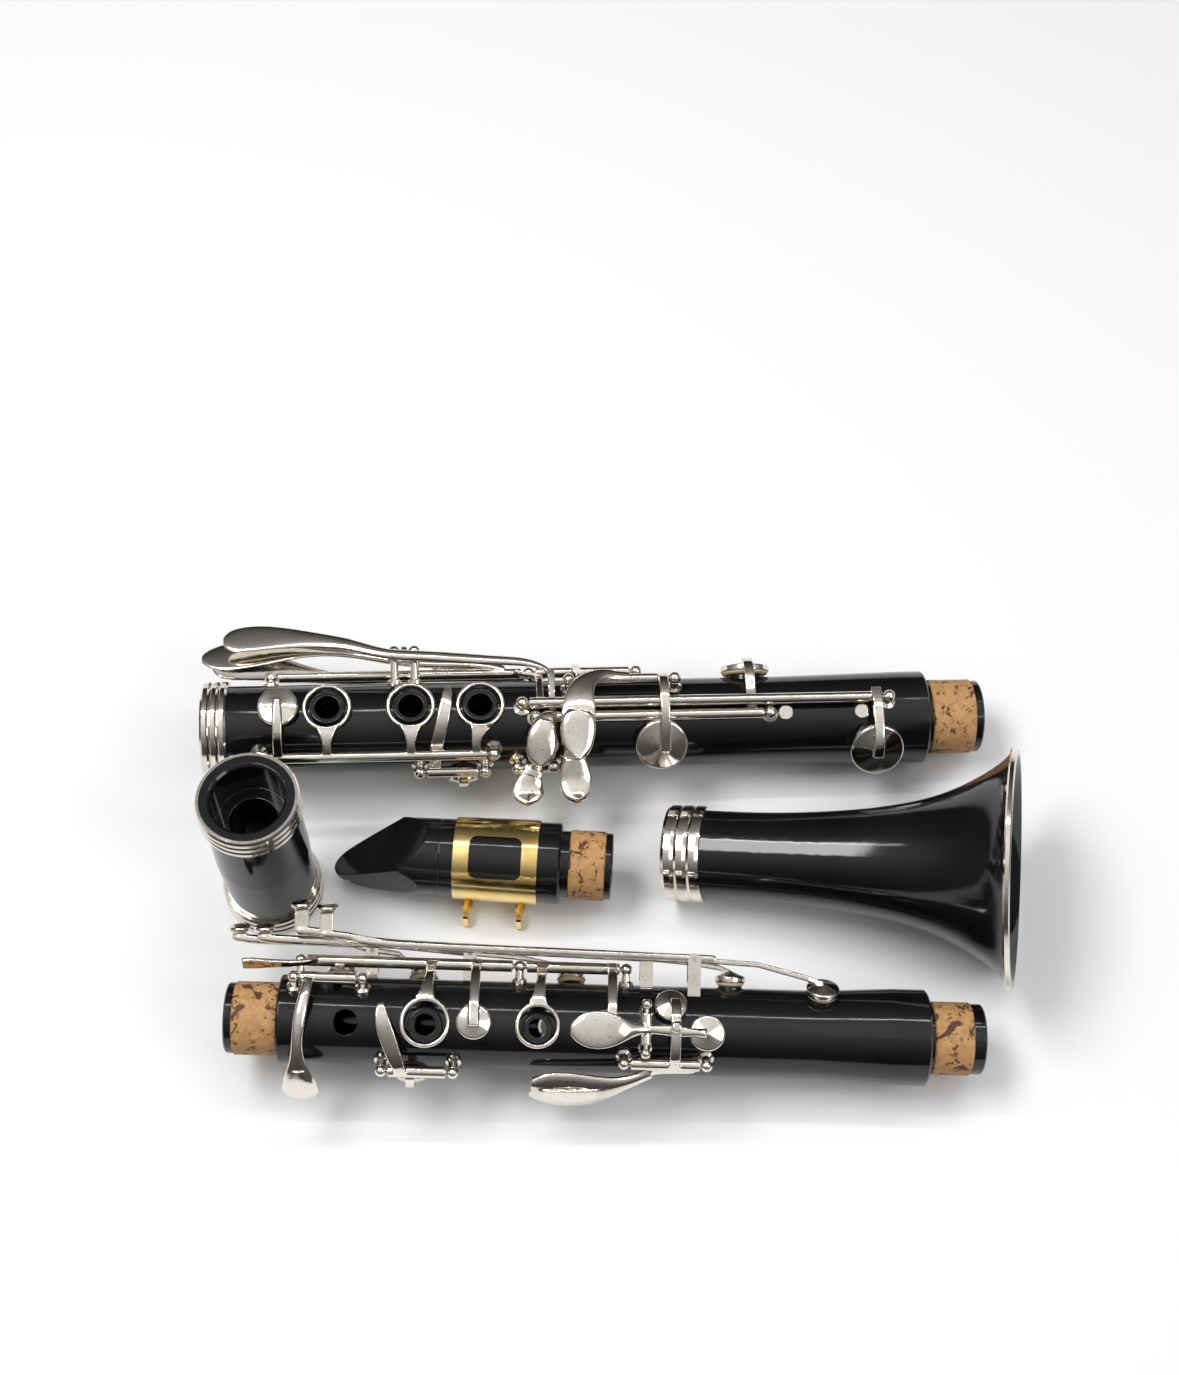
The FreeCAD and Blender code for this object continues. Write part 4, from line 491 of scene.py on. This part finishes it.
def polished_mesh(source):
    """The key's form rebuilt in one skin, its corners and soldered joints rounded off."""
    work = bmesh.new()
    work.from_mesh(source.data)
    bmesh.ops.remove_doubles(work, verts=work.verts, dist=WELD)
    if source.name in SWELLS:
        add_swell(work, SWELLS[source.name])
    mesh = bpy.data.meshes.new(source.name + "_form")
    work.to_mesh(mesh)
    work.free()
    thing = bpy.data.objects.new(source.name + "_form", mesh)
    bpy.context.scene.collection.objects.link(thing)
    skin = thing.modifiers.new("skin", "REMESH")
    skin.mode = "VOXEL"
    skin.voxel_size = KEY_VOXEL
    skin.use_smooth_shade = True
    round_off = thing.modifiers.new("round", "SMOOTH")
    round_off.factor = 0.5
    round_off.iterations = KEY_ROUNDING
    plating = thing.modifiers.new("plating", "DISPLACE")
    plating.strength = KEY_PLATING
    plating.mid_level = 0.0
    evaluated = thing.evaluated_get(bpy.context.evaluated_depsgraph_get())
    result = bpy.data.meshes.new_from_object(evaluated)
    bpy.data.objects.remove(thing)
    return result


def polish(node):
    """A rounded key that stands for the plain one and turns with it."""
    mesh = polished_mesh(NODES[node])
    mesh.materials.clear()
    mesh.materials.append(MATERIALS["key_metal"])
    piece = bpy.data.objects.new(node + "_polished", mesh)
    bpy.context.scene.collection.objects.link(piece)
    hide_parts(node)
    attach(piece, node)


for key in moving_keys():
    polish(key)


# ---------------------------------------------------------------- floor, lights, camera

def make_floor():
    """A pale sheet that keeps the shadows; seen directly, or in the metal, it is near white."""
    mesh = bpy.data.meshes.new("floor")
    half = FLOOR_SIZE / 2
    corners = [(-half, -half, 0), (half, -half, 0), (half, half, 0), (-half, half, 0)]
    mesh.from_pydata(corners, [], [(0, 1, 2, 3)])
    floor = bpy.data.objects.new("floor", mesh)
    bpy.context.scene.collection.objects.link(floor)
    s = Shader("studio_floor")
    s.set(Roughness=0.9, Specular_IOR_Level=0.1)
    path = s.add("ShaderNodeLightPath").outputs
    mirrored = s.math("MAXIMUM", path["Is Glossy Ray"], path["Is Transmission Ray"])
    seen = s.math("MAXIMUM", path["Is Camera Ray"], mirrored)
    paler = tuple(c * FLOOR_MOTTLE for c in FLOOR_COLOUR)
    tone = s.ramp(s.noise(scale=3.0, detail=2.0), (0.0, FLOOR_COLOUR), (1.0, paler))
    s.use(Base_Color=s.mix(seen, tone, FLOOR_SEEN))
    floor.data.materials.append(s.material)


def area_light(name, place, width, depth, watts):
    """A soft lamp aimed at the middle of the floor."""
    data = bpy.data.lights.new(name, "AREA")
    data.energy = watts
    data.shape = "RECTANGLE"
    data.size = width
    data.size_y = depth
    light = bpy.data.objects.new(name, data)
    light.location = place
    light.rotation_euler = (-Vector(place)).to_track_quat("-Z", "Y").to_euler()
    bpy.context.scene.collection.objects.link(light)


def room_ramp(tree, value, tones):
    """Greys at places along a value."""
    ramp = tree.nodes.new("ShaderNodeValToRGB")
    elements = ramp.color_ramp.elements
    while len(elements) < len(tones):
        elements.new(0.5)
    for element, (place, tone) in zip(elements, tones):
        element.position = place
        element.color = (tone, tone, tone, 1.0)
    tree.links.new(value, ramp.inputs["Fac"])
    return ramp.outputs["Color"]


def multiplied(tree, first, second):
    """The product of two colours."""
    mix = tree.nodes.new("ShaderNodeMix")
    mix.data_type = "RGBA"
    mix.blend_type = "MULTIPLY"
    mix.inputs["Factor"].default_value = 1.0
    tree.links.new(first, mix.inputs[MIX_A])
    tree.links.new(second, mix.inputs[MIX_B])
    return mix.outputs[MIX_RESULT]


def make_world():
    """A room that is bright overhead and dim towards its walls."""
    world = bpy.data.worlds.new("studio")
    world.use_nodes = True
    tree = world.node_tree
    background = tree.nodes["Background"]
    place = tree.nodes.new("ShaderNodeTexCoord")
    split = tree.nodes.new("ShaderNodeSeparateXYZ")
    depth = tree.nodes.new("ShaderNodeMapRange")
    depth.inputs["From Min"].default_value = -1.0
    tree.links.new(place.outputs["Generated"], split.inputs["Vector"])
    tree.links.new(split.outputs["Y"], depth.inputs["Value"])
    up = room_ramp(tree, split.outputs["Z"], ROOM_BY_HEIGHT)
    back = room_ramp(tree, depth.outputs["Result"], ROOM_BY_DEPTH)
    tree.links.new(multiplied(tree, up, back), background.inputs["Color"])
    background.inputs["Strength"].default_value = 1.0
    bpy.context.scene.world = world


def make_camera():
    """The viewer's place: in front and well above, looking down on the sections."""
    data = bpy.data.cameras.new("camera")
    data.sensor_width = SENSOR
    data.lens = LENS
    camera = bpy.data.objects.new("camera", data)
    forward = Vector((0.0, math.cos(ELEVATION), -math.sin(ELEVATION)))
    camera.location = TARGET - forward * DISTANCE
    camera.rotation_euler = forward.to_track_quat("-Z", "Y").to_euler()
    bpy.context.scene.collection.objects.link(camera)
    bpy.context.scene.camera = camera


make_floor()
for lamp in LAMPS:
    area_light(*lamp)
make_world()
make_camera()
bpy.context.scene.view_settings.view_transform = "Standard"
